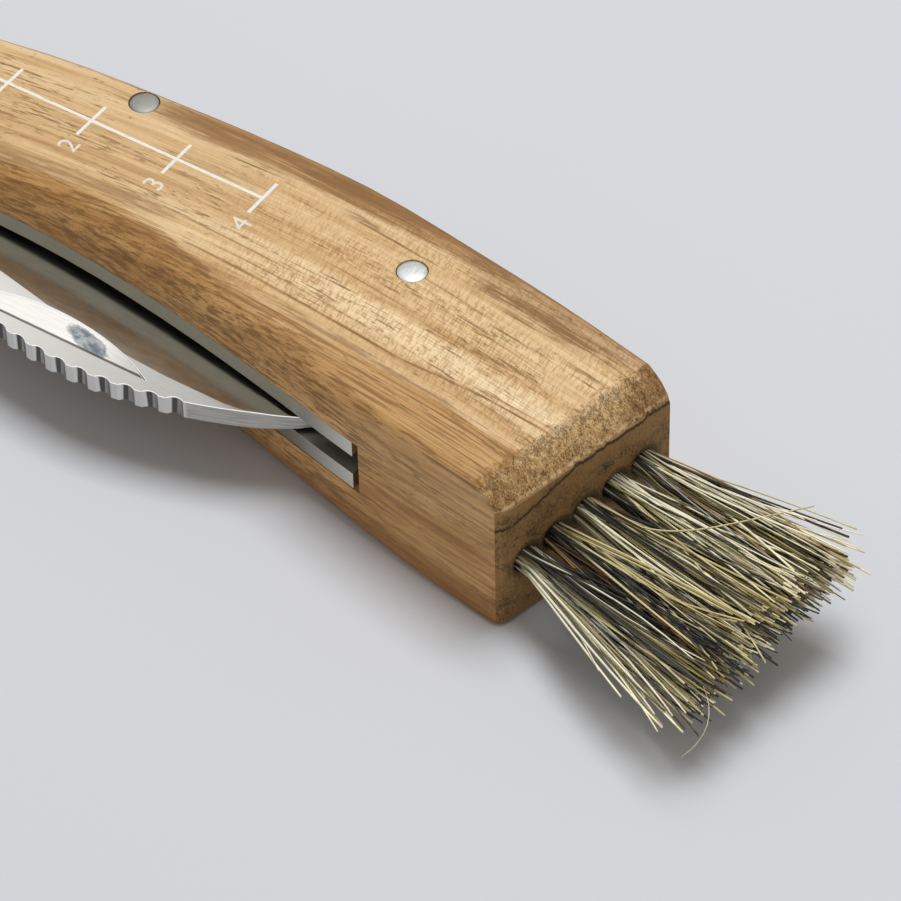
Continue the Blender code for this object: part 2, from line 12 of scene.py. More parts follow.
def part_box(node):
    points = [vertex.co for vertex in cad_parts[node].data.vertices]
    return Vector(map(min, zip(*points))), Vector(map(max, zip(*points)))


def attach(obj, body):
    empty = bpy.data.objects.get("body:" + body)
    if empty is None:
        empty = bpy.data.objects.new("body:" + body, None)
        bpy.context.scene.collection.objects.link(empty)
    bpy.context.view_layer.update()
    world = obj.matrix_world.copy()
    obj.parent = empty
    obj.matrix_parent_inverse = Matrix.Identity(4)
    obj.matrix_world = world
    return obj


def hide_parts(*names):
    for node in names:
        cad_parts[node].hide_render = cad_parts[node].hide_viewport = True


bl_info = {
    "name": "Mushroom Knife",
    "version": (1, 0, 0),
    "blender": (4, 5, 0),
    "location": "View3D > Sidebar > Mushroom Knife",
    "description": "Dresses a folding mushroom knife in wood, steel and bristle",
    "category": "Object",
}

MM = 0.001
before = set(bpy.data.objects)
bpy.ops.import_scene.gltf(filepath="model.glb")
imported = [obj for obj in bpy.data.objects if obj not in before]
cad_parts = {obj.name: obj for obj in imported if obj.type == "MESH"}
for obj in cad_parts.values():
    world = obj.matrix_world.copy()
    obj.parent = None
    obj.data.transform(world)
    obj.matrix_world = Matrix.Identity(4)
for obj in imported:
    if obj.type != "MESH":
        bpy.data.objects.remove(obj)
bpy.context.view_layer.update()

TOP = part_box("handle_block")[1][2]
# The way the brush points, and across it along its row of tufts
BRUSH_AXIS = Vector((0.9736, -0.2284, 0.0))
BRUSH_ACROSS = Vector((0.2284, 0.9736, 0.0))
UP = Vector((0.0, 0.0, 1.0))
# Mouth of each tuft's hole, from the one nearest the belly to the one nearest the back
TUFT_MOUTHS = [
    Vector(place) * MM
    for place in (
        (40.57, -17.05, 7.14),
        (41.41, -13.45, 7.62),
        (42.26, -9.85, 8.10),
        (43.10, -6.25, 8.58),
        (43.95, -2.64, 9.06),
    )
]
# Camera fitted to the marks of the scale, the pin heads and the end face
CAMERA_PLACE = Vector((0.210194, -0.272548, 0.336336))
CAMERA_RIGHT = Vector((0.83068, 0.55649, -0.01679))
CAMERA_UP = Vector((-0.38924, 0.60206, 0.69715))
CAMERA_BACK = Vector((0.39807, -0.57257, 0.71673))
CAMERA_LENS = 199.8
CAMERA_SENSOR = 36.0
CAMERA_NEAR = 0.01


# Materials


def math_method(operation, turned=False):
    """A method that adds one Math node; turned puts the other value first."""

    def method(self, other):
        first, second = (other, self) if turned else (self, other)
        return self.finish.add("ShaderNodeMath", {"operation": operation}, {0: first, 1: second})

    return method


class Value:
    """A socket of a finish, worked with as a number; most is the greater of two values."""

    def __init__(self, finish, socket):
        self.finish = finish
        self.socket = socket

    __add__ = math_method("ADD")
    __radd__ = math_method("ADD", True)
    __sub__ = math_method("SUBTRACT")
    __rsub__ = math_method("SUBTRACT", True)
    __mul__ = math_method("MULTIPLY")
    __rmul__ = math_method("MULTIPLY", True)
    __truediv__ = math_method("DIVIDE")
    __pow__ = math_method("POWER")
    most = math_method("MAXIMUM")

    def rise(self, low, high):
        """0 below low, 1 above high and a smooth step between; high below low turns it round."""
        return self.finish.add(
            "ShaderNodeMapRange",
            {"interpolation_type": "SMOOTHSTEP"},
            {0: self, 1: low, 2: high, 3: 0.0, 4: 1.0},
        )


class Finish:
    """The nodes of a new material, or of a new world."""

    def __init__(self, name, family="materials"):
        self.owner = getattr(bpy.data, family).new(name)
        self.owner.use_nodes = True
        self.tree = self.owner.node_tree
        self.tree.nodes.clear()

    def add(self, kind, settings=None, inputs=None, output=0):
        """Adds a node: its settings first, then the values or links of its sockets."""
        node = self.tree.nodes.new(kind)
        for name, setting in (settings or {}).items():
            if name == "stops":
                set_stops(node.color_ramp, *setting)
            else:
                setattr(node, name, setting)
        for name, given in (inputs or {}).items():
            socket = node.inputs[name]
            if isinstance(given, Value):
                self.tree.links.new(given.socket, socket)
            elif socket.type == "RGBA":
                socket.default_value = rgba(given)
            else:
                socket.default_value = given
        if not node.outputs:
            return None
        return Value(self, node.outputs[output])

    def place(self):
        """The three object coordinates, in millimetres."""
        point = self.add("ShaderNodeTexCoord", output="Object")
        settings = {"operation": "SCALE"}
        point = self.add("ShaderNodeVectorMath", settings, {0: point, "Scale": 1 / MM})
        return [self.add("ShaderNodeSeparateXYZ", {}, {0: point}, axis) for axis in range(3)]

    def attribute(self, name):
        """A number stored on the piece's points."""
        return self.add("ShaderNodeAttribute", {"attribute_name": name}, output="Fac")

    def noise(self, x, y, z, detail=2.0, roughness=0.5, distortion=0.0):
        """Noise between 0 and 1, the finer the faster the three numbers change."""
        sockets = {
            "Vector": self.add("ShaderNodeCombineXYZ", {}, {0: x, 1: y, 2: z}),
            "Scale": 1.0,
            "Detail": detail,
            "Roughness": roughness,
            "Distortion": distortion,
        }
        return self.add("ShaderNodeTexNoise", {}, sockets)

    def ramp(self, value, stops, interpolation="LINEAR"):
        """The colour of a value between stops, each a place and a colour."""
        return self.add("ShaderNodeValToRGB", {"stops": (interpolation, stops)}, {0: value})

    def mix(self, mask, first, second, blend="MIX"):
        """Second colour over the first where the mask is 1."""
        settings = {"data_type": "RGBA", "blend_type": blend, "clamp_factor": True}
        return self.add("ShaderNodeMix", settings, {0: mask, 6: first, 7: second}, output=2)

    def tint(self, mask, color, factor):
        """The colour, multiplied by a factor of each part where the mask is 1."""
        return self.mix(mask, color, factor, "MULTIPLY")

    def bump(self, height, distance):
        """Relief for the shader's normal."""
        return self.add("ShaderNodeBump", {}, {"Height": height, "Distance": distance})

    def shade(self, **inputs):
        """Ends the finish in one principled shader, and gives its material."""
        named = {name.replace("_", " "): given for name, given in inputs.items()}
        shader = self.add("ShaderNodeBsdfPrincipled", {}, named)
        self.add("ShaderNodeOutputMaterial", {}, {0: shader})
        return self.owner


def set_stops(ramp, interpolation, stops):
    """Gives a colour ramp its stops, each a place and a colour."""
    ramp.interpolation = interpolation
    while len(ramp.elements) < len(stops):
        ramp.elements.new(1.0)
    for element, (place, color) in zip(ramp.elements, stops):
        element.position = place
        element.color = rgba(color)


def rgba(color):
    """A colour of three parts, made opaque."""
    return (color[0], color[1], color[2], 1.0)


def faded(color, share):
    """A colour made darker by a share below 1."""
    return [part * share for part in color]


# Lengths of the wood's pattern are millimetres. Its grain lies in arcs along the handle, whose
# middle stands at one X, and it is tilted under the upper face
GRAIN_MIDDLE = -3.0
GRAIN_BEND = 474.0
GRAIN_TILT = 0.22
FACE_HEIGHT = 17.5
CHAMFER_FOOT = 15.0
CRACK_HEIGHT = 14.4
# The row of bristle holes: from one to the next, its height, how it climbs and its shift
HOLE_PITCH = 3.7
HOLE_HEIGHT = 8.1
HOLE_CLIMB = 0.13
HOLE_SHIFT = 0.06
# Where the blade's scallops end, where its spine faces straight along Y, and how fast it turns
SCALLOPS_END = (4.7, 5.1)
SPINE_MIDDLE = -12.0
SPINE_TURN = 0.017

# Dark streaks of this piece of wood: across the grain at both ends, half width, from, to, depth
WOOD_STREAKS = (
    (5.6, 4.7, 0.80, -16.0, -3.0, 0.80),
    (5.9, 6.5, 0.60, -4.5, 3.0, 0.75),
    (5.8, 6.6, 0.80, 7.0, 20.0, 0.85),
    (3.3, 2.6, 0.22, 8.0, 12.5, 0.80),
    (5.2, 5.4, 0.80, 20.0, 27.0, 0.75),
    (3.0, 3.3, 1.00, 23.0, 40.0, 0.90),
    (1.6, 1.9, 0.30, 27.0, 36.0, 0.80),
    (0.1, 0.4, 0.22, 36.0, 40.5, 0.80),
    (0.5, 0.9, 0.70, -12.0, -1.0, 0.30),
    (-6.9, -6.6, 0.90, -28.0, -6.0, 0.60),
    (-8.9, -11.9, 0.35, -6.0, 5.0, 0.85),
    (-11.4, -14.4, 0.80, -24.0, 2.0, 0.60),
    (-10.6, -11.2, 0.40, 8.0, 32.0, 0.60),
    (-8.8, -9.1, 0.20, 24.0, 40.0, 0.60),
)
# Thin dark lines, in the same way
WOOD_LINES = (
    (-8.7, -9.1, 0.15, -2.0, 9.0, 0.80),
    (-9.0, -9.4, 0.15, 8.0, 24.0, 0.90),
    (-9.4, -8.1, 0.15, 22.0, 32.0, 0.85),
    (-8.2, -7.6, 0.12, 30.0, 39.0, 0.90),
    (-7.6, -6.9, 0.10, 31.0, 40.0, 0.70),
    (-11.3, -11.9, 0.18, 5.0, 18.0, 0.80),
    (-6.0, -6.4, 0.10, -5.0, 7.0, 0.70),
    (-7.6, -7.9, 0.08, -1.0, 14.0, 0.50),
    (-5.5, -5.3, 0.09, 4.0, 13.0, 0.55),
    (-3.5, -3.9, 0.09, 10.0, 21.0, 0.50),
    (2.6, 2.3, 0.14, 8.5, 16.5, 0.85),
    (5.3, 5.6, 0.42, 0.0, 11.5, 0.95),
    (5.9, 6.1, 0.20, 3.0, 8.0, 0.90),
    (6.3, 6.1, 0.30, -15.0, -3.0, 0.80),
    (5.9, 5.7, 0.35, 19.0, 27.0, 0.85),
    (3.0, 3.3, 0.42, 25.0, 38.0, 0.80),
    (3.1, 3.3, 0.12, -6.0, -0.5, 0.80),
    (0.3, -0.1, 0.10, 18.0, 27.0, 0.55),
    (-1.9, -2.2, 0.08, 22.0, 34.0, 0.50),
)
# Pale bands between them, in the same way
WOOD_BANDS = (
    (-4.6, -5.4, 1.00, -12.0, 14.0, 0.70),
    (-6.3, -6.1, 1.30, 10.0, 40.0, 0.85),
    (-0.6, -1.2, 0.80, -30.0, -2.0, 0.30),
)
# Factors that make a colour browner, paler or darker in places
# The belly's tint is browner wood and partly painted shade
BELLY_BROWN_AND_SHADE_TINT = (0.76, 0.64, 0.47)
BACK_TINT = (0.53, 0.41, 0.27)
BELLY_SIDE_TINT = (1.18, 1.16, 1.14)
BELLY_SIDE_END_TINT = (1.05, 1.06, 1.14)
# Painted shade at the handle's foot
FOOT_SHADE_TINT = (0.62, 0.54, 0.46)
ARRIS_TINT = (0.52, 0.42, 0.34)
END_BORDER_TINT = (0.50, 0.39, 0.29)
BRISTLE_TIP_TINT = (1.20, 1.17, 1.10)
# Colours that belong to one mark or finish alone
# Painted shadow in the crack under the chamfer
CRACK_SHADOW_COLOR = (0.025, 0.014, 0.006)
# Painted sheen on steel
PAINTED_SHEEN_COLOR = (0.92, 0.89, 0.82)
# Painted shade in the nail nick
NICK_SHADE_COLOR = (0.05, 0.045, 0.04)
WORN_INK_COLOR = (0.55, 0.44, 0.30)
# Middle of the stain in the nail nick, in millimetres
STAIN_X = -7.6
STAIN_Y = -18.05


def long_marks(x, grain, fade, rows):
    """How much a point lies in one of the long marks of a table, whose ends fade out."""
    most = None
    for first, last, half, start, end, depth in rows:
        slope = (last - first) / (end - start)
        near = ((grain - x * slope - (first - slope * start)) / half) ** 2.0
        mark = near.rise(1.7, 0.1) * x.rise(start - fade, start + fade)
        mark = mark * x.rise(end + fade, end - fade) * depth
        most = mark if most is None else most.most(mark)
    return most


def long_grain(wood, look, x, grain, z):
    """Wood along its grain: the colour, the relief and the fibres."""
    # Patterns drawn out along the grain, each for one trait of the wood
    bands = wood.noise(
        x * 0.016, grain * 0.45, z * 0.16, detail=4.0, roughness=0.62, distortion=0.3
    )
    lines = wood.noise(x * 0.05, grain * 1.7, z * 1.7, detail=5.0, roughness=0.68)
    fibre = wood.noise(x * 0.14, grain * 6.0, z * 6.0, detail=3.0, roughness=0.6)
    ragged = wood.noise(x * 0.16, grain * 1.6, z * 1.6, detail=4.0, roughness=0.7)
    ripple = wood.noise(x * 4.6 + grain * 0.8, grain * 1.1, z * 1.1, distortion=0.5)
    dash = wood.noise(x * 0.20, grain * 2.8 + 60.0, z * 2.8, detail=4.0, roughness=0.62)
    crowd = wood.noise(x * 0.06, grain * 0.35, z * 0.35)
    pores = wood.noise(
        x * 0.75, grain * 4.2, z * 4.2, detail=3.0, roughness=0.55, distortion=0.6
    )
    hairs = wood.noise(x * 0.11, grain * 5.0 + 40.0, z * 5.0, distortion=0.3)

    tone = bands * 0.66 + lines * 0.34
    pale = long_marks(x + (lines - 0.5) * 2.0, grain + (lines - 0.5) * 1.6, 5.0, WOOD_BANDS)
    color = wood.ramp(
        tone + pale * 0.12 - x.rise(14.0, -6.0) * 0.022,
        (
            (0.34, look.wood_dark),
            (0.46, look.wood_middle),
            (0.58, look.wood_light),
            (0.70, look.wood_pale),
        ),
    )
    fibre_tint = wood.ramp(fibre, ((0.28, (0.76, 0.70, 0.62)), (0.60, (1.0, 1.0, 1.0))))
    color = wood.tint(0.8, color, fibre_tint)
    # Fine ripples across the grain, most of them in the middle of the upper face
    rippled = x.rise(-8.0, 10.0) * grain.rise(7.0, 3.0) * grain.rise(-12.0, -9.0)
    rippled = rippled * (crowd.rise(0.35, 0.55) * 0.5 + 0.35) + 0.12
    ripple_tint = wood.ramp(ripple, ((0.38, (0.76, 0.67, 0.55)), (0.56, (1.06, 1.06, 1.06))))
    color = wood.tint(rippled, color, ripple_tint)

    # The belly and the back are browner, with ragged borders; the belly's darkening is partly
    # painted shade where the upper face rounds over towards it
    ragged_grain = grain + (ragged - 0.5) * 2.4 + (fibre - 0.5) * 1.2
    belly_border = x.rise(6.0, -14.0) * 3.8 - 10.4
    belly = (ragged_grain - belly_border).rise(0.0, -1.6)
    back = ragged_grain.rise(3.2, 4.6) * x.rise(-20.0, -8.0)
    back = back * (1.0 - x.rise(14.0, 30.0) * 0.35)
    brown = wood.noise(x * 0.06, grain * 2.4 + 20.0, z * 2.4, detail=4.0, roughness=0.65)
    color = wood.tint(belly, color, BELLY_BROWN_AND_SHADE_TINT)
    color = wood.tint(back * (dash.rise(0.60, 0.42) * 0.6 + 0.4), color, BACK_TINT)
    side = z.rise(17.2, 16.4) * belly
    color = wood.tint(side, color, BELLY_SIDE_TINT)
    color = wood.tint(side * x.rise(25.0, 33.0), color, BELLY_SIDE_END_TINT)
    # Painted shade, darker towards the floor along the foot of the handle
    color = wood.tint((z + (lines - 0.5) * 3.0).rise(5.6, 2.2) * 0.9, color, FOOT_SHADE_TINT)

    # Dark marks: broad streaks and short dashes, then thin lines, broken up by the dashes
    streak = long_marks(
        x + (ragged - 0.5) * 4.0, grain + (ragged - 0.5) * 1.8, 2.5, WOOD_STREAKS
    )
    streak = streak.most(brown.rise(0.46, 0.56) * (belly * 0.85).most(back * 0.85))
    streak = streak * (dash.rise(0.41, 0.53) * 0.72 + 0.28)
    streak = streak.most((dash + (crowd - 0.5) * 0.5 - 0.60).rise(0.0, 0.07) * 0.75)
    thin = long_marks(x + (lines - 0.5) * 2.0, grain + (lines - 0.5) * 0.35, 2.5, WOOD_LINES)
    thin = thin * z.rise(16.8, 17.3).most(grain.rise(3.0, 4.0))
    streak = streak.most(thin * (dash.rise(0.36, 0.50) * 0.5 + 0.5))
    streak = streak * (1.0 - z.rise(17.2, 16.4) * x.rise(20.0, 28.0) * 0.4)
    arris = z.rise(17.49, 17.36) * z.rise(16.2, 17.2) * grain.rise(3.0, 5.0)
    color = wood.tint(arris * 0.8, color, ARRIS_TINT)
    color = wood.mix(streak, color, look.wood_streak)
    hair = (hairs + (crowd - 0.5) * 0.25 - 0.64).rise(0.0, 0.10)
    color = wood.mix(hair * 0.50, color, look.wood_streak)
    pore = (pores + (crowd - 0.5) * 0.40 - 0.60).rise(0.0, 0.14)
    color = wood.mix(pore * 0.70, color, look.wood_pore)
    # The streaks stay out of the relief, which keeps the material small enough to render
    relief = fibre * 0.25 - pore * 0.3 - hair * 0.2 + ripple * 0.25
    return color, relief, fibre


def end_face(wood, look, out, across, z, pits, patch):
    """The end face under the chamfer, with the painted shadow in its crack, and the rims
    of the bristle holes.
    """
    wander = wood.noise(across * 0.4, 3.0, 5.0, detail=6.0, roughness=0.75)
    tone = wood.noise(out * 3.0, across * 3.6, z * 2.8, detail=5.0, roughness=0.8)
    color = wood.ramp(
        tone * 0.6 + patch * 0.4,
        ((0.40, look.face_dark), (0.48, look.face_middle), (0.56, look.end_middle)),
    )
    # Lighter towards the top of the end face
    lighter_top = z.rise(11.5, 14.2) * patch.rise(0.36, 0.52)
    color = wood.mix(lighter_top * 0.65, color, look.end_middle)
    # Painted shadow in the crack under the chamfer's overhanging edge, which also dents the relief
    shaded_crack = z - CRACK_HEIGHT + across.rise(0.0, -9.0) * 1.8 + (wander - 0.5) * 2.6
    shaded_crack = ((shaded_crack / 0.17) ** 2.0).rise(1.8, 0.2) * (pits * 0.6 + patch * 0.4).rise(0.38, 0.48)
    # The rims stand at even steps in a row that climbs towards the back
    half = HOLE_PITCH / 2
    step = {0: across - HOLE_SHIFT, 1: half, 2: -half}
    step = wood.add("ShaderNodeMath", {"operation": "WRAP"}, step)
    rim = step * step + (z - HOLE_HEIGHT - across * HOLE_CLIMB) ** 2.0
    rim = (rim + (tone - 0.5) * 3.0).rise(4.6, 2.4) * (across ** 2.0).rise(100.0, 84.0)
    chip = wood.noise(out * 1.1, across * 1.1 + 9.0, z * 1.1, detail=3.0)
    chip = chip.rise(0.53, 0.60) * z.rise(12.0, 10.0)
    color = wood.mix(chip * 0.7, color, look.face_chip)
    color = wood.mix(rim * 0.85, color, look.face_rim)
    return wood.mix(shaded_crack * 0.95, color, CRACK_SHADOW_COLOR), shaded_crack, wander


def wood_finish(look):
    """Oiled, open-pored wood whose grain follows the handle, with rougher, darker end grain."""
    wood = Finish("oiled_wood")
    x, y, z = wood.place()
    grain = y + (x - GRAIN_MIDDLE) ** 2.0 / GRAIN_BEND + (z - FACE_HEIGHT) * GRAIN_TILT
    end_grain = wood.attribute("end_grain")
    out = x * BRUSH_AXIS.x + y * BRUSH_AXIS.y
    across = x * BRUSH_ACROSS.x + y * BRUSH_ACROSS.y
    color, relief, fibre = long_grain(wood, look, x, grain, z)

    # End grain: torn fibres and pits, worst where the chamfer meets the upper face
    fuzz = wood.noise(out * 4.5, across * 7.5, z * 4.5, detail=4.0, roughness=0.8)
    pits = wood.noise(out * 1.0, across * 1.5, z * 1.0, detail=5.0, roughness=0.75)
    patch = wood.noise(out * 0.4, across * 0.3 + 5.0, z * 0.4, detail=4.0, roughness=0.65)
    chamfer_tone = fuzz * 0.6 + pits * 0.4
    end_color = wood.ramp(
        chamfer_tone,
        (
            (0.42, look.end_dark),
            (0.48, look.end_middle),
            (0.54, look.end_light),
            (0.61, look.wood_pale),
        ),
    )
    border = (across + (patch - 0.5) * 9.0).rise(4.5, 8.5)
    border = border.most((across + (patch - 0.5) * 9.0).rise(-5.0, -9.0) * 0.6)
    end_color = wood.tint(border * 0.8, end_color, END_BORDER_TINT)
    face_color, shaded_crack, wander = end_face(wood, look, out, across, z, pits, patch)
    arris = ((z - CHAMFER_FOOT + (wander - 0.5) * 0.8) / 0.14) ** 2.0
    arris = arris.rise(1.5, 0.2) * pits.rise(0.40, 0.55)
    end_color = wood.mix(arris * 0.45, end_color, look.wood_pale)
    face = (z + (wander - 0.5) * 0.6).rise(14.9, 14.6) * out.rise(42.3, 42.9)
    end_color = wood.mix(face, end_color, face_color)
    torn = (out + (pits - 0.5) * 5.0 + (fuzz - 0.5) * 2.0).rise(40.9, 41.5)
    torn = torn.most(z.rise(17.0, 16.6))
    end_mask = end_grain.most(z.rise(17.2, 17.45)) * torn
    color = wood.mix(end_mask * 0.92, color, end_color)
    notch = ((out - 40.5) / 0.6) ** 2.0
    notch = notch.rise(1.4, 0.2) * pits.rise(0.47, 0.40) * z.rise(16.8, 17.2)
    color = wood.mix(notch * 0.75, color, look.wood_streak)
    return wood.shade(
        Base_Color=color,
        Roughness=0.60 + end_mask * 0.25 - fibre * 0.12,
        Specular_IOR_Level=0.25,
        Normal=wood.bump(relief + end_mask * (chamfer_tone * 3.4 - shaded_crack * 2.0), 0.07 * MM),
    )


def steel_finish(name, color, roughness, brush, contrast=0.18, relief=0.004, painted_sheen=None):
    """Ground steel: brush gives how fine its scratches are along each axis, and painted_sheen
    from where to where along the knife a painted sheen makes it lighter."""
    steel = Finish(name)
    x, y, z = steel.place()
    scratch = steel.noise(x * brush[0], y * brush[1], z * brush[2], detail=3.0, roughness=0.6)
    cloud = steel.noise(x * 0.12, y * 0.2, z * 0.2)
    stops = ((0.32, faded(color, 1 - contrast)), (0.64, color))
    tone = steel.ramp(scratch * 0.75 + cloud * 0.25, stops)
    if painted_sheen:
        tone = steel.mix(x.rise(*painted_sheen) * 0.7, tone, PAINTED_SHEEN_COLOR)
    return steel.shade(
        Base_Color=tone,
        Metallic=1.0,
        Roughness=roughness + scratch * 0.12 + cloud * 0.06,
        Normal=steel.bump(scratch, relief * MM),
    )


def ink_finish(name, ink_color):
    """Pale printing ink, thin enough to let the wood show through here and there."""
    ink = Finish(name)
    x, y, z = ink.place()
    worn = ink.noise(x * 1.2, y * 5.0, z, detail=3.0, roughness=0.6)
    color = ink.mix(worn.rise(0.52, 0.72) * 0.55, ink_color, WORN_INK_COLOR)
    return ink.shade(Base_Color=color, Roughness=0.55, Normal=ink.bump(worn, 0.01 * MM))


def bristle_finish(look):
    """Mixed bristle: each strand has its own colour, darker at the root and paler at the tip."""
    bristle = Finish("mixed_bristle")
    x, y, z = bristle.place()
    strand = bristle.attribute("strand")
    along = bristle.attribute("along")
    color = bristle.ramp(
        strand,
        (
            (0.00, look.bristle_black),
            (0.30, look.bristle_brown),
            (0.42, look.bristle_olive),
            (0.58, look.bristle_straw),
            (0.77, look.bristle_cream),
            (0.93, look.bristle_grey),
            (0.97, look.bristle_orange),
        ),
        "CONSTANT",
    )
    fleck = bristle.noise(x * 0.8, y * 2.4, z * 2.4, detail=3.0, roughness=0.6)
    color = bristle.mix(fleck.rise(0.54, 0.70) * 0.10, color, look.bristle_straw)
    color = bristle.mix(fleck.rise(0.42, 0.32) * 0.25, color, look.bristle_black)
    color = bristle.mix(along.rise(0.18, 0.0) * 0.55, color, look.bristle_black)
    color = bristle.tint(along.rise(0.5, 1.0), color, BRISTLE_TIP_TINT)
    return bristle.shade(
        Base_Color=color,
        Roughness=0.34 + fleck * 0.14,
        Specular_IOR_Level=0.4,
        Normal=bristle.bump(fleck, 0.02 * MM),
    )


def nick_finish(look):
    """Polished nail nick, with a stain left by water near its end."""
    nick = Finish("nail_nick")
    x, y, z = nick.place()
    scratch = nick.noise(x * 0.4, y * 5.0, z * 5.0, detail=3.0, roughness=0.6)
    shape = nick.noise(x * 0.7, y * 1.2, z, detail=3.0, roughness=0.6)
    spot = ((x - STAIN_X) / 2.6) ** 2.0
    spot = spot + ((y - STAIN_Y + (x - STAIN_X) * 0.25) / 0.92) ** 2.0 + (shape - 0.5) * 2.4
    stain = spot.rise(1.25, 0.75)
    stain = stain * (0.55 + shape.rise(0.35, 0.60) * 0.45)
    color = nick.ramp(scratch, ((0.30, faded(look.nick_color, 0.90)), (0.60, look.nick_color)))
    color = nick.mix(x.rise(-8.0, -1.5) * 0.75, color, look.blade_color)
    color = nick.mix(stain, color, look.nick_stain)
    # Painted shade along the low side of the nick, under its wall
    painted_nick_shade = (y + (shape - 0.5) * 0.10).rise(-18.90, -19.02)
    color = nick.mix(painted_nick_shade * 0.85, color, NICK_SHADE_COLOR)
    return nick.shade(
        Base_Color=color,
        Metallic=1.0 - stain * 0.6,
        Roughness=0.16,
        Normal=nick.bump(scratch, 0.001 * MM),
    )


def spine_finish(look):
    """Spine of the blade: scallops cut across it, with painted highlights and shade on their
    sides, then a plain part ground lengthwise.
    """
    spine = Finish("blade_spine")
    x, y, z = spine.place()
    # The scallops' sides are told apart by the way they face, which turns with the curved
    # spine: their teeth and lands get a painted highlight, and their hollows a painted shade
    # that stands for a dark reflection
    turn = spine.attribute("turn") - (x - SPINE_MIDDLE) * SPINE_TURN
    land = spine.attribute("depth").rise(0.05, 0.03)
    painted_tooth_highlight = turn.rise(0.28, 0.42).most(land * 0.8)
    shade = turn.rise(-0.14, -0.04) * turn.rise(0.38, 0.26) * (1.0 - land)
    across = spine.noise(x * 8.0, y * 8.0, z * 0.2, detail=3.0, roughness=0.6)
    along = spine.noise(x * 0.35, y * 0.35, z * 6.0, detail=3.0, roughness=0.6)
    middle = faded(look.blade_color, 0.62)
    cut = spine.ramp(across, ((0.34, faded(middle, 0.62)), (0.62, middle)))
    # Painted shade in the scallops' hollows, then a painted highlight on their teeth and lands
    cut = spine.mix(shade * 0.9, cut, faded(middle, 0.2))
    cut = spine.mix(painted_tooth_highlight * 0.85, cut, faded(look.edge_color, 0.8))
    plain = spine.ramp(along, ((0.34, middle), (0.62, faded(look.blade_color, 0.9))))
    past_scallops = x.rise(*SCALLOPS_END)
    scratch = spine.add("ShaderNodeMix", {}, {0: past_scallops, 2: across, 3: along})
    return spine.shade(
        Base_Color=spine.mix(past_scallops, cut, plain),
        Metallic=1.0,
        Roughness=0.28 + scratch * 0.14,
        Normal=spine.bump(scratch, 0.004 * MM),
    )


# Pieces


def new_mesh(name, bm):
    """A mesh made from a bmesh, which is freed."""
    mesh = bpy.data.meshes.new(name)
    bm.to_mesh(mesh)
    bm.free()
    return mesh


def new_object(name, data):
    """An object in the scene that holds a mesh, a text, a lamp or a camera."""
    made = bpy.data.objects.new(name, data)
    bpy.context.scene.collection.objects.link(made)
    return made


def add_piece(name, bm, materials, body):
    """Makes a piece from a bmesh and lets it ride on its body."""
    mesh = new_mesh(name, bm)
    for material in materials:
        mesh.materials.append(material)
    piece = new_object(name, mesh)
    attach(piece, body)
    return piece


# Points closer than this are one, in a CAD node and in a numeral drawn a metre high
SAME_POINT = 0.001 * MM
NUMERAL_SAME_POINT = 0.1 * MM


def merged_copy(node):
    """A bmesh of a CAD node with its loose triangles joined."""
    bm = bmesh.new()
    bm.from_mesh(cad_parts[node].data)
    bmesh.ops.remove_doubles(bm, verts=bm.verts, dist=SAME_POINT)
    return bm


# Triangles that meet at less than this are one flat face of the solid
FLAT_ANGLE = math.radians(0.4)
# Edges sharper than these are rounded
WOOD_EDGE_ANGLE = math.radians(24)
STEEL_EDGE_ANGLE = math.radians(32)
# Edges that turn by more than this stay sharp in the shading
CREASE_ANGLE = math.radians(30)
# Faces of the spine that meet at less than this are one curved side
SAME_SIDE_ANGLE = math.radians(25)


def soften_edges(bm, angle, width, segments=2, clamp=True):
    """Rounds the edges that are sharper than an angle, and shades the rest smoothly."""
    bmesh.ops.dissolve_limit(bm, angle_limit=FLAT_ANGLE, verts=bm.verts, edges=bm.edges)
    sharp = [e for e in bm.edges if len(e.link_faces) == 2 and e.calc_face_angle() > angle]
    bmesh.ops.bevel(
        bm,
        geom=sharp,
        offset=width,
        offset_type="OFFSET",
        affect="EDGES",
        segments=segments,
        profile=0.5,
        material=-1,
        clamp_overlap=clamp,
    )
    bmesh.ops.triangulate(bm, faces=bm.faces)
    for face in bm.faces:
        face.smooth = True
    for edge in bm.edges:
        edge.smooth = len(edge.link_faces) < 2 or edge.calc_face_angle() < CREASE_ANGLE


# How much more a large face counts, up to 100
LARGE_FACE_WEIGHT = 80


def even_shading(piece):
    """Lets the large faces rule the shading, so flats stay flat up to their rounded edges."""
    modifier = piece.modifiers.new("even_shading", "WEIGHTED_NORMAL")
    modifier.keep_sharp = True
    modifier.weight = LARGE_FACE_WEIGHT


# Past this X the handle's faces show end grain, the more the further their normals point
# along X: none up to the first number, all from the second
END_GRAIN_FROM = 30.0 * MM
END_GRAIN_FACING = (0.25, 0.60)


def end_grain_share(vert):
    """How much the faces round a point of the handle show end grain."""
    if vert.co.x <= END_GRAIN_FROM:
        return 0.0
    facing = max((face.normal.x for face in vert.link_faces), default=0.0)
    low, high = END_GRAIN_FACING
    return min(1.0, max(0.0, (facing - low) / (high - low)))


def make_handle(look):
    bm = merged_copy("handle_block")
    soften_edges(bm, WOOD_EDGE_ANGLE, look.edge_round, segments=3)
    layer = bm.verts.layers.float.new("end_grain")
    for vert in bm.verts:
        vert[layer] = end_grain_share(vert)
    handle = add_piece("handle_wood", bm, [wood_finish(look)], "handle")
    even_shading(handle)
    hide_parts("handle_block")


# Finishes of the blade, in the order of its material slots
FLAT, GRIND, SPINE, NICK, EDGE = range(5)
# The most that the normal of a wall, a rounded edge and a slope has along Z
WALL_MOST = 0.6
EDGE_MOST = 0.9
SLOPE_MOST = 0.9995
# Along Y: the least that the spine has behind the nick, and the most that the nick's slope has
SPINE_LEAST = 0.9
NICK_SLOPE_MOST = -0.03
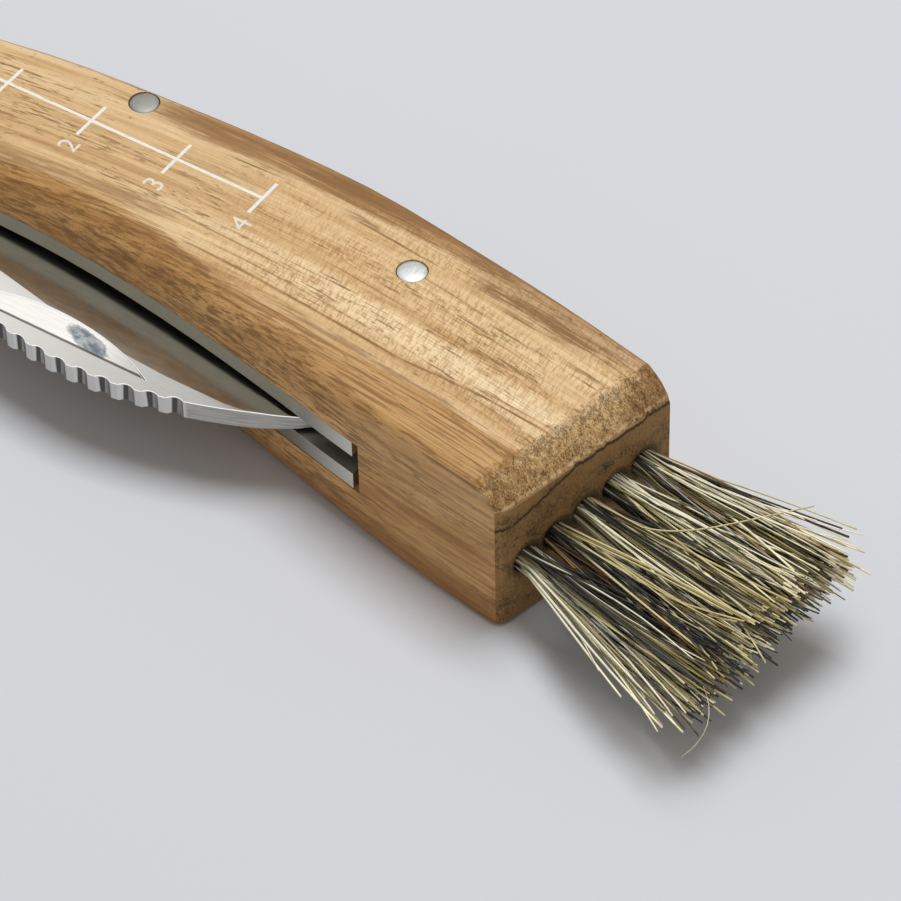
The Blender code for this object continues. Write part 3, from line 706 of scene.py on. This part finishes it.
# Two opposite corners of the box that the nail nick's walls are in, in millimetres
NICK_LOW = Vector((-24.2, -19.6, 9.3))
NICK_HIGH = Vector((0.4, -16.3, FACE_HEIGHT))


def blade_zone(face):
    """Which finish a face of the blade wears, by its normal and its place."""
    middle = face.calc_center_median() / MM
    normal = face.normal
    if abs(normal.z) > SLOPE_MOST:
        return FLAT
    if abs(normal.z) < WALL_MOST:
        in_nick = all(a < b < c for a, b, c in zip(NICK_LOW, middle, NICK_HIGH))
        return NICK if in_nick and normal.y < SPINE_LEAST else SPINE
    if abs(normal.z) < EDGE_MOST:
        return EDGE
    return NICK if normal.z > 0 and normal.y < NICK_SLOPE_MOST else GRIND


def spine_hull(bm):
    """The blade's outermost line: a function from a place along X to the line's Y."""
    points = [vert.co.xy for vert in bm.verts]
    hull = [points[index] for index in geometry.convex_hull_2d(points)]
    sides = [(a, b) if a.x < b.x else (b, a) for a, b in zip(hull, hull[1:] + hull[:1])]

    def line(x):
        under = [(a, b) for a, b in sides if a.x <= x <= b.x and a.x < b.x]
        heights = [a.y + (b.y - a.y) * (x - a.x) / (b.x - a.x) for a, b in under]
        return min(heights, default=0.0)

    return line


def mark_spine(bm):
    """Stores on the spine's corners the way it faces, and its depth under the outermost line."""
    turn = bm.loops.layers.float.new("turn")
    depth = bm.loops.layers.float.new("depth")
    outer = spine_hull(bm)
    for face in bm.faces:
        if face.material_index != SPINE:
            continue
        for loop in face.loops:
            around = [f.normal for f in loop.vert.link_faces if f.material_index == SPINE]
            smooth = [n.x for n in around if n.angle(face.normal) < SAME_SIDE_ANGLE]
            loop[turn] = sum(smooth) / len(smooth)
            loop[depth] = min(loop.vert.co.y - outer(loop.vert.co.x), MM) / MM


def make_blade(look):
    bm = merged_copy("blade")
    soften_edges(bm, STEEL_EDGE_ANGLE, look.blade_edge_round, segments=1, clamp=False)
    finishes = {
        # The flat gets a painted sheen, lighter towards lower X
        FLAT: steel_finish(
            "blade_flat", look.blade_color, 0.12, (0.35, 9.0, 9.0), 0.10, 0.001, (8.0, -26.0)
        ),
        GRIND: steel_finish("blade_grind", look.grind_color, 0.14, (0.4, 3.0, 3.0), 0.10, 0.001),
        SPINE: spine_finish(look),
        NICK: nick_finish(look),
        # The rounded edges wear a paler steel: a painted highlight
        EDGE: steel_finish("blade_edge_highlight", look.edge_color, 0.36, (3.0, 3.0, 3.0), 0.10, 0.001),
    }
    for face in bm.faces:
        face.material_index = blade_zone(face)
    mark_spine(bm)
    for edge in bm.edges:
        if len({face.material_index for face in edge.link_faces}) > 1:
            edge.smooth = False
    blade = add_piece("scalloped_blade", bm, finishes.values(), "blade")
    even_shading(blade)
    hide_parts("blade")


def make_fittings(look):
    # The liners get a painted sheen, lighter towards the brush
    liner = steel_finish(
        "liner_steel", look.liner_color, 0.30, (0.3, 12.0, 12.0), painted_sheen=(13.0, 27.0)
    )
    spring = steel_finish("spring_steel", look.liner_color, 0.32, (0.3, 10.0, 10.0))
    head = steel_finish("pin_steel", look.pin_color, 0.46, (5.0, 1.2, 5.0), 0.25)
    # The spring pin's head is rougher and darker: a duller head, and a painted dark reflection
    dull_and_shaded_head = steel_finish("dull_and_shaded_pin_steel", look.dull_pin_color, 0.50, (5.0, 1.2, 5.0), 0.20)
    wire = steel_finish("anchor_brass", look.brass_color, 0.30, (2.0, 2.0, 2.0))
    for node, material, slot in (
        ("liner_upper", liner, "liner_steel"),
        ("liner_lower", liner, "liner_steel"),
        ("backspring", spring, "liner_steel"),
        ("pivot_pin", head, "pin_steel"),
        ("spring_pin", dull_and_shaded_head, "pin_steel"),
        ("end_pin", head, "pin_steel"),
    ):
        bm = merged_copy(node)
        soften_edges(bm, STEEL_EDGE_ANGLE, look.steel_edge_round)
        piece = add_piece(node + "_ground", bm, [material], "handle")
        even_shading(piece)
        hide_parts(node)
    for index in range(1, len(TUFT_MOUTHS) + 1):
        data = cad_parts["tuft_anchor_%d" % index].data
        data.materials.clear()
        data.materials.append(wire)


def bar(bm, low, high):
    """A flat bar between two corners."""
    made = bmesh.ops.create_cube(bm, size=1.0)["verts"]
    bmesh.ops.scale(bm, vec=high - low, verts=made)
    bmesh.ops.translate(bm, vec=(low + high) / 2, verts=made)


MARK_COUNT = 5
# The ink starts in the wood, and the marks stand a little proud of the long line
INK_DEPTH = 0.02 * MM
MARK_LIFT = 0.002 * MM
NUMERAL_SHIFT = 0.35 * MM
# Height of a numeral in a font of size 1
NUMERAL_SHARE = 0.69


def numeral(number, small, thickness):
    """A bmesh of a number, drawn a metre high and made small, that reads along the handle."""
    curve = bpy.data.curves.new("numeral", "FONT")
    curve.body = str(number)
    curve.size = 1.0
    curve.align_x = "CENTER"
    curve.align_y = "CENTER"
    curve.extrude = thickness / 2 / small
    text = new_object("numeral", curve)
    bpy.context.view_layer.update()
    mesh = bpy.data.meshes.new_from_object(text)
    bpy.data.objects.remove(text)
    bm = bmesh.new()
    bm.from_mesh(mesh)
    bmesh.ops.remove_doubles(bm, verts=bm.verts, dist=NUMERAL_SAME_POINT)
    turned = Matrix.Rotation(math.radians(90), 4, "Z") @ Matrix.Scale(small, 4)
    bmesh.ops.transform(bm, matrix=turned, verts=bm.verts)
    return bm


def make_scale(look):
    """Printed scale: one long line, a mark for every centimetre and its number."""
    ink = ink_finish("scale_ink", look.ink)
    numeral_ink = ink_finish("numeral_ink", look.numeral_ink)
    half = look.line_width / 2
    reach = look.mark_length / 2
    low, high = TOP - INK_DEPTH, TOP + look.ink_thickness
    places = [(mark - MARK_COUNT + 1) * look.mark_spacing for mark in range(MARK_COUNT)]
    bm = bmesh.new()
    bar(bm, Vector((places[0] - half, -half, low)), Vector((half, half, high)))
    for x in places:
        bar(bm, Vector((x - half, -reach, low)), Vector((x + half, reach, high + MARK_LIFT)))
    add_piece("scale_marks", bm, [ink], "handle")
    for number, x in enumerate(places):
        bm = numeral(number, look.numeral_height / NUMERAL_SHARE, high - low)
        place = Vector((x + NUMERAL_SHIFT, -look.numeral_drop, (low + high) / 2))
        bmesh.ops.translate(bm, vec=place, verts=bm.verts)
        add_piece("scale_numeral_%d" % number, bm, [numeral_ink], "handle")


STRAND_SIDES = 4
STRAND_RINGS = 8
LOOSE_RINGS = 20
# How much thinner a strand is at its tip
STRAND_TAPER = 0.25


def strand_template(rings):
    """One strand of unit length along Z, with a ring of points at each step."""
    bm = bmesh.new()
    bmesh.ops.create_cone(
        bm, cap_ends=True, segments=STRAND_SIDES, radius1=1.0, radius2=1.0, depth=1.0
    )
    bmesh.ops.translate(bm, vec=(0, 0, 0.5), verts=bm.verts)
    for ring in range(1, rings):
        parts = bm.verts[:] + bm.edges[:] + bm.faces[:]
        bmesh.ops.bisect_plane(bm, geom=parts, plane_co=(0, 0, ring / rings), plane_no=(0, 0, 1))
    return new_mesh("strand", bm)


# How the strands of a tuft lie, in millimetres: a mean and a spread, or the least and the most
LENGTH_CHANGE = (-0.5, 0.9)
FOOT_DEPTH = (2.0, 7.0)
BOW_SIDE = (0.0, 0.5)
BOW_RISE = (0.0, 0.35)
# Place of a tip: how much farther out than at the mouth, then its mean and its spread
TIP_SIDE = (1.4, 0.75, 1.1)
TIP_RISE = (1.7, 0.7, 0.75)
STRAY_SHARE = 0.22
STRAY_SPREAD = 1.9
# A strand leans ever faster on its way out; these powers say how much
SIDE_POWER = 1.2
RISE_POWER = 1.15
# From tuft to tuft: how far they lean apart, and how much longer those by the belly are
RANK_STEP = 0.45 * MM


def bristle_path(look, mouth, rank, side, rise, rng):
    """Where a strand runs: a function from a share of its length to a point and the free share."""
    length = look.bristle_length + rng.gauss(*LENGTH_CHANGE) * MM - min(rank, 0) * RANK_STEP
    foot = -rng.uniform(*FOOT_DEPTH) * MM
    stray = STRAY_SPREAD if rng.random() < STRAY_SHARE else 1.0

    def tip(place, factor, mean, spread):
        return place * factor + (mean + rng.gauss(0, spread) * stray) * MM

    tip_side = tip(side, *TIP_SIDE) + rank * RANK_STEP
    tip_rise = tip(rise, *TIP_RISE)
    bow_side = rng.gauss(*BOW_SIDE) * MM
    bow_rise = rng.gauss(*BOW_RISE) * MM

    def path(share):
        out = foot + (length - foot) * share
        free = max(0.0, out / length)
        bow = math.sin(free * math.pi)
        across = side + (tip_side - side) * free ** SIDE_POWER + bow_side * bow
        up = rise + (tip_rise - rise) * free ** RISE_POWER + bow_rise * bow
        return mouth + BRUSH_AXIS * out + BRUSH_ACROSS * across + UP * up, free

    return path


def stray_path(start, first, second, end):
    """A loose strand on a smooth curve between two points, drawn towards two on its way."""

    def path(share):
        rest = 1 - share
        drawn = first * 3 * share * rest ** 2 + second * 3 * share ** 2 * rest
        return start * rest ** 3 + drawn + end * share ** 3, share

    return path


def lay_strand(bm, template, path, thick, shade, turn):
    """Adds a strand to a tuft and lays it along its path."""
    first = len(bm.verts)
    bm.from_mesh(template)
    bm.verts.ensure_lookup_table()
    strand = bm.verts.layers.float["strand"]
    along = bm.verts.layers.float["along"]
    for vert in bm.verts[first:]:
        point, free = path(vert.co.z)
        radius = thick * (1.0 - STRAND_TAPER * free)
        a = vert.co.x * math.cos(turn) - vert.co.y * math.sin(turn)
        b = vert.co.x * math.sin(turn) + vert.co.y * math.cos(turn)
        vert.co = point + (BRUSH_ACROSS * a + UP * b) * radius
        vert[strand] = shade
        vert[along] = free


# Loose strands: the tuft that they leave, four points in millimetres, colour and thickness
STRAYS = (
    (3, (42.6, -9.7, 8.7), (52.0, -12.0, 10.5), (54.5, -10.8, 13.2), (61.4, -1.9, 12.4), 0.6, 1.2),
    (1, (41.0, -17.2, 8.0), (48.0, -21.0, 8.6), (57.0, -23.5, 9.0), (65.2, -27.4, 8.2), 0.10, 1.0),
    (1, (41.0, -17.0, 7.5), (58.0, -17.5, 9.0), (67.5, -22.5, 8.2), (64.9, -29.8, 7.5), 0.84, 0.5),
    (1, (40.6, -18.0, 7.0), (45.5, -20.6, 7.2), (50.5, -23.4, 7.2), (56.5, -26.2, 6.8), 0.88, 1.2),
    (1, (40.6, -18.0, 7.2), (46.0, -20.6, 7.5), (53.0, -24.4, 7.5), (61.5, -27.4, 7.0), 0.86, 1.3),
    (1, (40.7, -17.9, 7.6), (46.0, -20.2, 8.0), (54.0, -23.8, 8.0), (63.5, -27.2, 7.4), 0.84, 1.2),
    (1, (40.8, -17.6, 7.4), (46.0, -20.4, 7.6), (55.0, -24.0, 7.6), (61.4, -28.0, 7.0), 0.86, 0.9),
    (1, (40.8, -17.8, 7.2), (46.0, -20.2, 7.4), (50.0, -22.4, 7.4), (53.4, -25.0, 7.2), 0.86, 0.6),
    (1, (40.7, -17.9, 7.3), (46.0, -20.0, 7.6), (54.0, -22.6, 7.8), (58.6, -25.6, 7.4), 0.86, 0.9),
    (1, (40.7, -18.0, 7.0), (46.0, -20.3, 7.4), (54.0, -23.2, 7.6), (60.2, -26.6, 7.2), 0.82, 1.0),
    (1, (40.8, -17.7, 7.6), (46.0, -19.6, 8.0), (54.0, -22.2, 8.2), (61.8, -26.2, 7.6), 0.90, 1.1),
    (1, (40.9, -17.6, 7.9), (46.0, -19.4, 8.4), (54.0, -21.6, 8.6), (62.8, -25.6, 8.0), 0.84, 1.0),
    (4, (42.8, -6.2, 8.8), (50.0, -9.0, 9.8), (58.0, -12.5, 10.2), (66.0, -17.6, 9.0), 0.66, 1.0),
    (5, (44.2, -2.4, 9.6), (51.0, -2.0, 10.4), (58.0, -1.0, 10.4), (64.6, 0.4, 9.2), 0.62, 1.1),
    (5, (44.2, -2.8, 9.0), (51.0, -2.8, 9.8), (58.0, -2.6, 9.6), (66.4, -1.2, 8.6), 0.64, 1.0),
)


# How dark the strands of each tuft are: above 1 more of them are black, below 1 more are pale
TUFT_TONES = (1.15, 1.45, 1.50, 1.10, 0.70)
# Hanks that the outer tufts have besides those laid at random: place across and up, colour
OUTER_HANKS = {
    1: [(-0.9, 0.3, 0.8), (-0.75, -0.5, 0.85)],
    5: [(0.8, 0.4, 0.62), (0.4, 0.85, 0.7), (0.0, 0.5, 0.8)],
}
MIDDLE_TUFT = 3
BRUSH_SEED = 11
# Share of the strands that have the colour of the hank they stand in
HANK_SHARE = 0.55
STRAND_THICKNESS = (0.6, 1.35)


def make_brush(look):
    rng = random.Random(BRUSH_SEED)
    template = strand_template(STRAND_RINGS)
    loose = strand_template(LOOSE_RINGS)
    material = bristle_finish(look)
    radius = look.bristle_thickness / 2
    spread = look.tuft_radius - radius
    for index, mouth in enumerate(TUFT_MOUTHS, start=1):
        bm = bmesh.new()
        bm.verts.layers.float.new("strand")
        bm.verts.layers.float.new("along")
        # Strands that stand together often come from one hank, and have its colour
        hanks = [
            (rng.uniform(-1, 1), rng.uniform(-1, 1), rng.random()) for _ in range(look.hanks)
        ]
        hanks += OUTER_HANKS.get(index, [])
        for _ in range(look.strands):
            angle = rng.uniform(0, math.tau)
            reach = math.sqrt(rng.uniform(0, 1))
            side, rise = reach * math.cos(angle), reach * math.sin(angle)
            near = min(hanks, key=lambda hank: (hank[0] - side) ** 2 + (hank[1] - rise) ** 2)
            shade = near[2] if rng.random() < HANK_SHARE else rng.random()
            shade = shade ** TUFT_TONES[index - 1]
            rank = index - MIDDLE_TUFT
            path = bristle_path(look, mouth, rank, side * spread, rise * spread, rng)
            thick = radius * rng.uniform(*STRAND_THICKNESS)
            lay_strand(bm, template, path, thick, shade, rng.uniform(0, math.tau))
        for tuft_index, *points, shade, thick in STRAYS:
            if tuft_index == index:
                path = stray_path(*(Vector(point) * MM for point in points))
                lay_strand(bm, loose, path, radius * thick, shade, 0.0)
        for face in bm.faces:
            face.smooth = True
        tuft = add_piece("bristles_%d" % index, bm, [material], "handle")
        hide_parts("bristle_tuft_%d" % index)
    bpy.data.meshes.remove(template)
    bpy.data.meshes.remove(loose)


FLOOR_REACH = 2.0
KEY_PLACE = Vector((0.0, 0.13, 0.72))
KEY_SIZE = 0.34
FRONT_PLACE = Vector((0.30, -0.55, 0.60))
FRONT_SIZE = 0.60


def make_floor(look):
    paper = Finish("pale_floor")
    x, y, z = paper.place()
    cloud = paper.noise(x * 0.01, y * 0.01, z)
    color = paper.mix(cloud.rise(0.3, 0.7) * 0.2, look.floor_color, faded(look.floor_color, 0.95))
    bm = bmesh.new()
    bmesh.ops.create_grid(bm, x_segments=1, y_segments=1, size=FLOOR_REACH)
    floor = new_object("floor", new_mesh("floor", bm))
    material = paper.shade(Base_Color=color, Roughness=0.85, Specular_IOR_Level=0.2)
    floor.data.materials.append(material)


def make_light(name, place, size, power, color):
    """A square lamp that shines on the middle of the scene."""
    lamp = bpy.data.lights.new(name, "AREA")
    lamp.shape = "SQUARE"
    lamp.size = size
    lamp.energy = power
    lamp.color = color
    light = new_object(name, lamp)
    light.location = place
    light.rotation_euler = place.to_track_quat("Z", "Y").to_euler()


def make_surroundings(look):
    """Soft light from all round; the camera, metal and glass see a pale studio instead."""
    studio = Finish("studio", "worlds")
    soft = studio.add(
        "ShaderNodeBackground", {}, {"Color": look.fill_color, "Strength": look.world_strength}
    )
    seen = studio.add(
        "ShaderNodeBackground",
        {},
        {"Color": look.world_color, "Strength": look.surround_brightness},
    )
    shown = studio.add("ShaderNodeLightPath", output="Is Camera Ray")
    for ray in ("Is Glossy Ray", "Is Transmission Ray"):
        shown = shown.most(studio.add("ShaderNodeLightPath", output=ray))
    both = studio.add("ShaderNodeMixShader", {}, {0: shown, 1: soft, 2: seen})
    studio.add("ShaderNodeOutputWorld", {}, {0: both})
    bpy.context.scene.world = studio.owner


def make_camera():
    camera = bpy.data.cameras.new("camera")
    camera.lens = CAMERA_LENS
    camera.sensor_width = CAMERA_SENSOR
    camera.clip_start = CAMERA_NEAR
    view = new_object("camera", camera)
    turn = Matrix((CAMERA_RIGHT, CAMERA_UP, CAMERA_BACK)).transposed().to_4x4()
    view.matrix_world = Matrix.Translation(CAMERA_PLACE) @ turn
    bpy.context.scene.camera = view


def make_stage(look):
    """Pale floor, soft studio light, and the camera that took the picture."""
    make_floor(look)
    color = look.lamp_color
    make_light("key_light", KEY_PLACE, KEY_SIZE, look.key_power, color)
    make_light("front_light", FRONT_PLACE, FRONT_SIZE, look.front_power, color)
    make_surroundings(look)
    make_camera()
    bpy.context.scene.view_settings.view_transform = "Standard"


# What a user changes


def color_prop(name, description, default):
    settings = {"default": default, "size": 3, "subtype": "COLOR", "min": 0.0, "max": 1.0}
    return FloatVectorProperty(name=name, description=description, **settings)


def amount_prop(name, description, default, unit="NONE"):
    return FloatProperty(name=name, description=description, default=default, unit=unit, min=0.0)


def length_prop(name, description, default):
    return amount_prop(name, description, default, "LENGTH")


def count_prop(name, description, default, most):
    return IntProperty(name=name, description=description, default=default, min=1, max=most)


class HandleLook(bpy.types.PropertyGroup):
    """Finish of the wooden handle"""

    edge_round: length_prop("Edge Round", "Rounding of the wood's edges", 0.22 * MM)
    wood_pale: color_prop("Pale Wood", "Cream bands of the wood", (0.93, 0.735, 0.465))
    wood_light: color_prop("Light Wood", "Light tone of the wood", (0.81, 0.595, 0.355))
    wood_middle: color_prop("Middle Wood", "Main tone of the wood", (0.70, 0.47, 0.24))
    wood_dark: color_prop("Dark Wood", "Darkest tone of its bands", (0.46, 0.27, 0.115))
    wood_streak: color_prop("Streaks", "Brown streaks along the grain", (0.225, 0.106, 0.032))
    wood_pore: color_prop("Pores", "Open pores of the wood", (0.20, 0.11, 0.04))
    end_dark: color_prop("Dark End Grain", "Pits of the chamfer", (0.10, 0.055, 0.022))
    end_middle: color_prop("End Grain", "Main tone of the chamfer", (0.44, 0.25, 0.094))
    end_light: color_prop("Light End Grain", "Torn fibres of the chamfer", (0.70, 0.44, 0.19))
    face_dark: color_prop("Dark End Face", "Hollows of the end face", (0.04, 0.024, 0.011))
    face_middle: color_prop("End Face", "Main tone of the end face", (0.26, 0.155, 0.064))
    face_chip: color_prop("Chipped Wood", "Fresh chips between the tufts", (0.36, 0.19, 0.07))
    face_rim: color_prop("Hole Rims", "Dark rims of the bristle holes", (0.055, 0.045, 0.018))


class SteelLook(bpy.types.PropertyGroup):
    """Finish of the blade, liners, spring and pins"""

    blade_edge_round: length_prop("Blade Rounding", "Rounding of the blade's edges", 0.06 * MM)
    steel_edge_round: length_prop("Steel Rounding", "Rounding of the other edges", 0.08 * MM)
    blade_color: color_prop("Blade", "Ground flats of the blade", (0.52, 0.505, 0.465))
    grind_color: color_prop("Grind", "Hollow-ground side of the blade", (0.53, 0.51, 0.45))
    nick_color: color_prop("Nail Nick", "Polished nail nick", (1.0, 0.965, 0.88))
    nick_stain: color_prop("Stain", "Water stain in the nail nick", (0.14, 0.18, 0.22))
    # A paler steel for the blade's rounded edges and teeth: a painted highlight
    edge_color: color_prop("Edges", "Worn edges and teeth of the blade", (0.90, 0.89, 0.86))
    liner_color: color_prop("Liners", "Liners and spring", (0.33, 0.315, 0.26))
    pin_color: color_prop("Pins", "Pin heads", (0.52, 0.52, 0.495))
    # Darker steel of the spring pin's head: partly duller, partly a painted dark reflection
    dull_pin_color: color_prop("Dull Pin", "Head of the spring's pin", (0.27, 0.262, 0.24))
    brass_color: color_prop("Anchors", "Wire anchors of the tufts", (0.60, 0.45, 0.20))


class ScaleLook(bpy.types.PropertyGroup):
    """Printed scale on the handle"""

    mark_spacing: length_prop("Mark Spacing", "From one mark to the next", 10.0 * MM)
    mark_length: length_prop("Mark Length", "Length of each mark", 4.66 * MM)
    line_width: length_prop("Line Width", "Width of the printed lines", 0.35 * MM)
    numeral_height: length_prop("Numeral Height", "Height of the numbers", 2.08 * MM)
    numeral_drop: length_prop("Numeral Drop", "From the line to the numbers", 3.95 * MM)
    ink_thickness: length_prop("Ink Thickness", "How far the ink stands out", 0.015 * MM)
    ink: color_prop("Ink", "Ink of the lines", (0.84, 0.80, 0.75))
    numeral_ink: color_prop("Numeral Ink", "Thinner ink of the numbers", (0.76, 0.70, 0.62))


class BrushLook(bpy.types.PropertyGroup):
    """Bristle tufts at the handle's end"""

    strands: count_prop("Strands", "Strands in each tuft", 165, 600)
    hanks: count_prop("Hanks", "Hanks of like colour in each tuft", 16, 100)
    tuft_radius: length_prop("Tuft Radius", "Radius of a tuft in its hole", 1.35 * MM)
    bristle_length: length_prop("Bristle Length", "Free length of a strand", 22.4 * MM)
    bristle_thickness: length_prop("Thickness", "Thickness of a strand at its root", 0.23 * MM)
    bristle_black: color_prop("Black", "Black strands", (0.022, 0.019, 0.018))
    bristle_brown: color_prop("Brown", "Dark brown strands", (0.11, 0.09, 0.04))
    bristle_olive: color_prop("Olive", "Olive strands", (0.37, 0.32, 0.12))
    bristle_straw: color_prop("Straw", "Straw-coloured strands", (0.68, 0.60, 0.32))
    bristle_cream: color_prop("Cream", "Cream strands", (0.95, 0.90, 0.68))
    bristle_grey: color_prop("Grey", "Grey strands", (0.42, 0.44, 0.45))
    bristle_orange: color_prop("Orange", "Orange-brown strands", (0.40, 0.22, 0.08))


class StageLook(bpy.types.PropertyGroup):
    """Floor, lamps and surroundings"""

    floor_color: color_prop("Floor", "Pale floor", (0.665, 0.678, 0.72))
    world_color: color_prop("Surroundings", "Pale surroundings", (0.96, 0.97, 1.0))
    lamp_color: color_prop("Lamps", "Colour of the lamps", (0.96, 0.985, 1.0))
    fill_color: color_prop("Fill Light", "Light that the surroundings give", (1.0, 0.94, 0.85))
    world_strength: amount_prop("Fill Strength", "Light of the surroundings", 0.34)
    surround_brightness: amount_prop("Brightness", "How bright the surroundings look", 1.0)
    key_power: amount_prop("Key Light", "Power of the large lamp", 3.95, "POWER")
    front_power: amount_prop("Front Light", "Power of the weak lamp", 0.2, "POWER")


class KNIFE_OT_handle(bpy.types.Operator):
    """Grind the blade, polish its nail nick, and paint a sheen, highlights and shade on its steel
    """

    bl_idname = "mushroom_knife.handle"
    bl_label = "Handle"

    def execute(self, context):
        make_handle(context.scene.knife_handle)
        return {"FINISHED"}


class KNIFE_OT_blade(bpy.types.Operator):
    """Grind and polish the blade"""

    bl_idname = "mushroom_knife.blade"
    bl_label = "Blade"

    def execute(self, context):
        make_blade(context.scene.knife_steel)
        return {"FINISHED"}


class KNIFE_OT_fittings(bpy.types.Operator):
    """Finish the liners, the backspring, the pins and the anchors"""

    bl_idname = "mushroom_knife.fittings"
    bl_label = "Fittings"

    def execute(self, context):
        make_fittings(context.scene.knife_steel)
        return {"FINISHED"}


class KNIFE_OT_scale(bpy.types.Operator):
    """Print the measuring scale on the handle"""

    bl_idname = "mushroom_knife.scale"
    bl_label = "Scale"

    def execute(self, context):
        make_scale(context.scene.knife_scale)
        return {"FINISHED"}


class KNIFE_OT_brush(bpy.types.Operator):
    """Fill the holes of the handle's end with bristles"""

    bl_idname = "mushroom_knife.brush"
    bl_label = "Brush"

    def execute(self, context):
        make_brush(context.scene.knife_brush)
        return {"FINISHED"}


class KNIFE_OT_stage(bpy.types.Operator):
    """Set up the floor, the lamps and the camera"""

    bl_idname = "mushroom_knife.stage"
    bl_label = "Stage"

    def execute(self, context):
        make_stage(context.scene.knife_stage)
        return {"FINISHED"}


class KNIFE_PT_panel(bpy.types.Panel):
    """Steps and settings of the mushroom knife"""

    bl_idname = "KNIFE_PT_panel"
    bl_label = "Mushroom Knife"
    bl_space_type = "VIEW_3D"
    bl_region_type = "UI"
    bl_category = "Mushroom Knife"

    def draw(self, context):
        for operator, group in STEPS:
            box = self.layout.box()
            box.operator(operator.bl_idname)
            look = getattr(context.scene, group)
            for name in look.__annotations__:
                box.prop(look, name)


LOOKS = {
    "knife_handle": HandleLook,
    "knife_steel": SteelLook,
    "knife_scale": ScaleLook,
    "knife_brush": BrushLook,
    "knife_stage": StageLook,
}
STEPS = (
    (KNIFE_OT_handle, "knife_handle"),
    (KNIFE_OT_blade, "knife_steel"),
    (KNIFE_OT_fittings, "knife_steel"),
    (KNIFE_OT_scale, "knife_scale"),
    (KNIFE_OT_brush, "knife_brush"),
    (KNIFE_OT_stage, "knife_stage"),
)


def register():
    for name, group in LOOKS.items():
        bpy.utils.register_class(group)
        setattr(bpy.types.Scene, name, PointerProperty(type=group))
    for operator, _ in STEPS:
        bpy.utils.register_class(operator)
    bpy.utils.register_class(KNIFE_PT_panel)


def unregister():
    bpy.utils.unregister_class(KNIFE_PT_panel)
    for operator, _ in reversed(STEPS):
        bpy.utils.unregister_class(operator)
    for name, group in LOOKS.items():
        delattr(bpy.types.Scene, name)
        bpy.utils.unregister_class(group)


def main():
    register()
    bpy.ops.mushroom_knife.handle()
    bpy.ops.mushroom_knife.blade()
    bpy.ops.mushroom_knife.fittings()
    bpy.ops.mushroom_knife.scale()
    bpy.ops.mushroom_knife.brush()
    bpy.ops.mushroom_knife.stage()


if __name__ == "__main__":
    main()
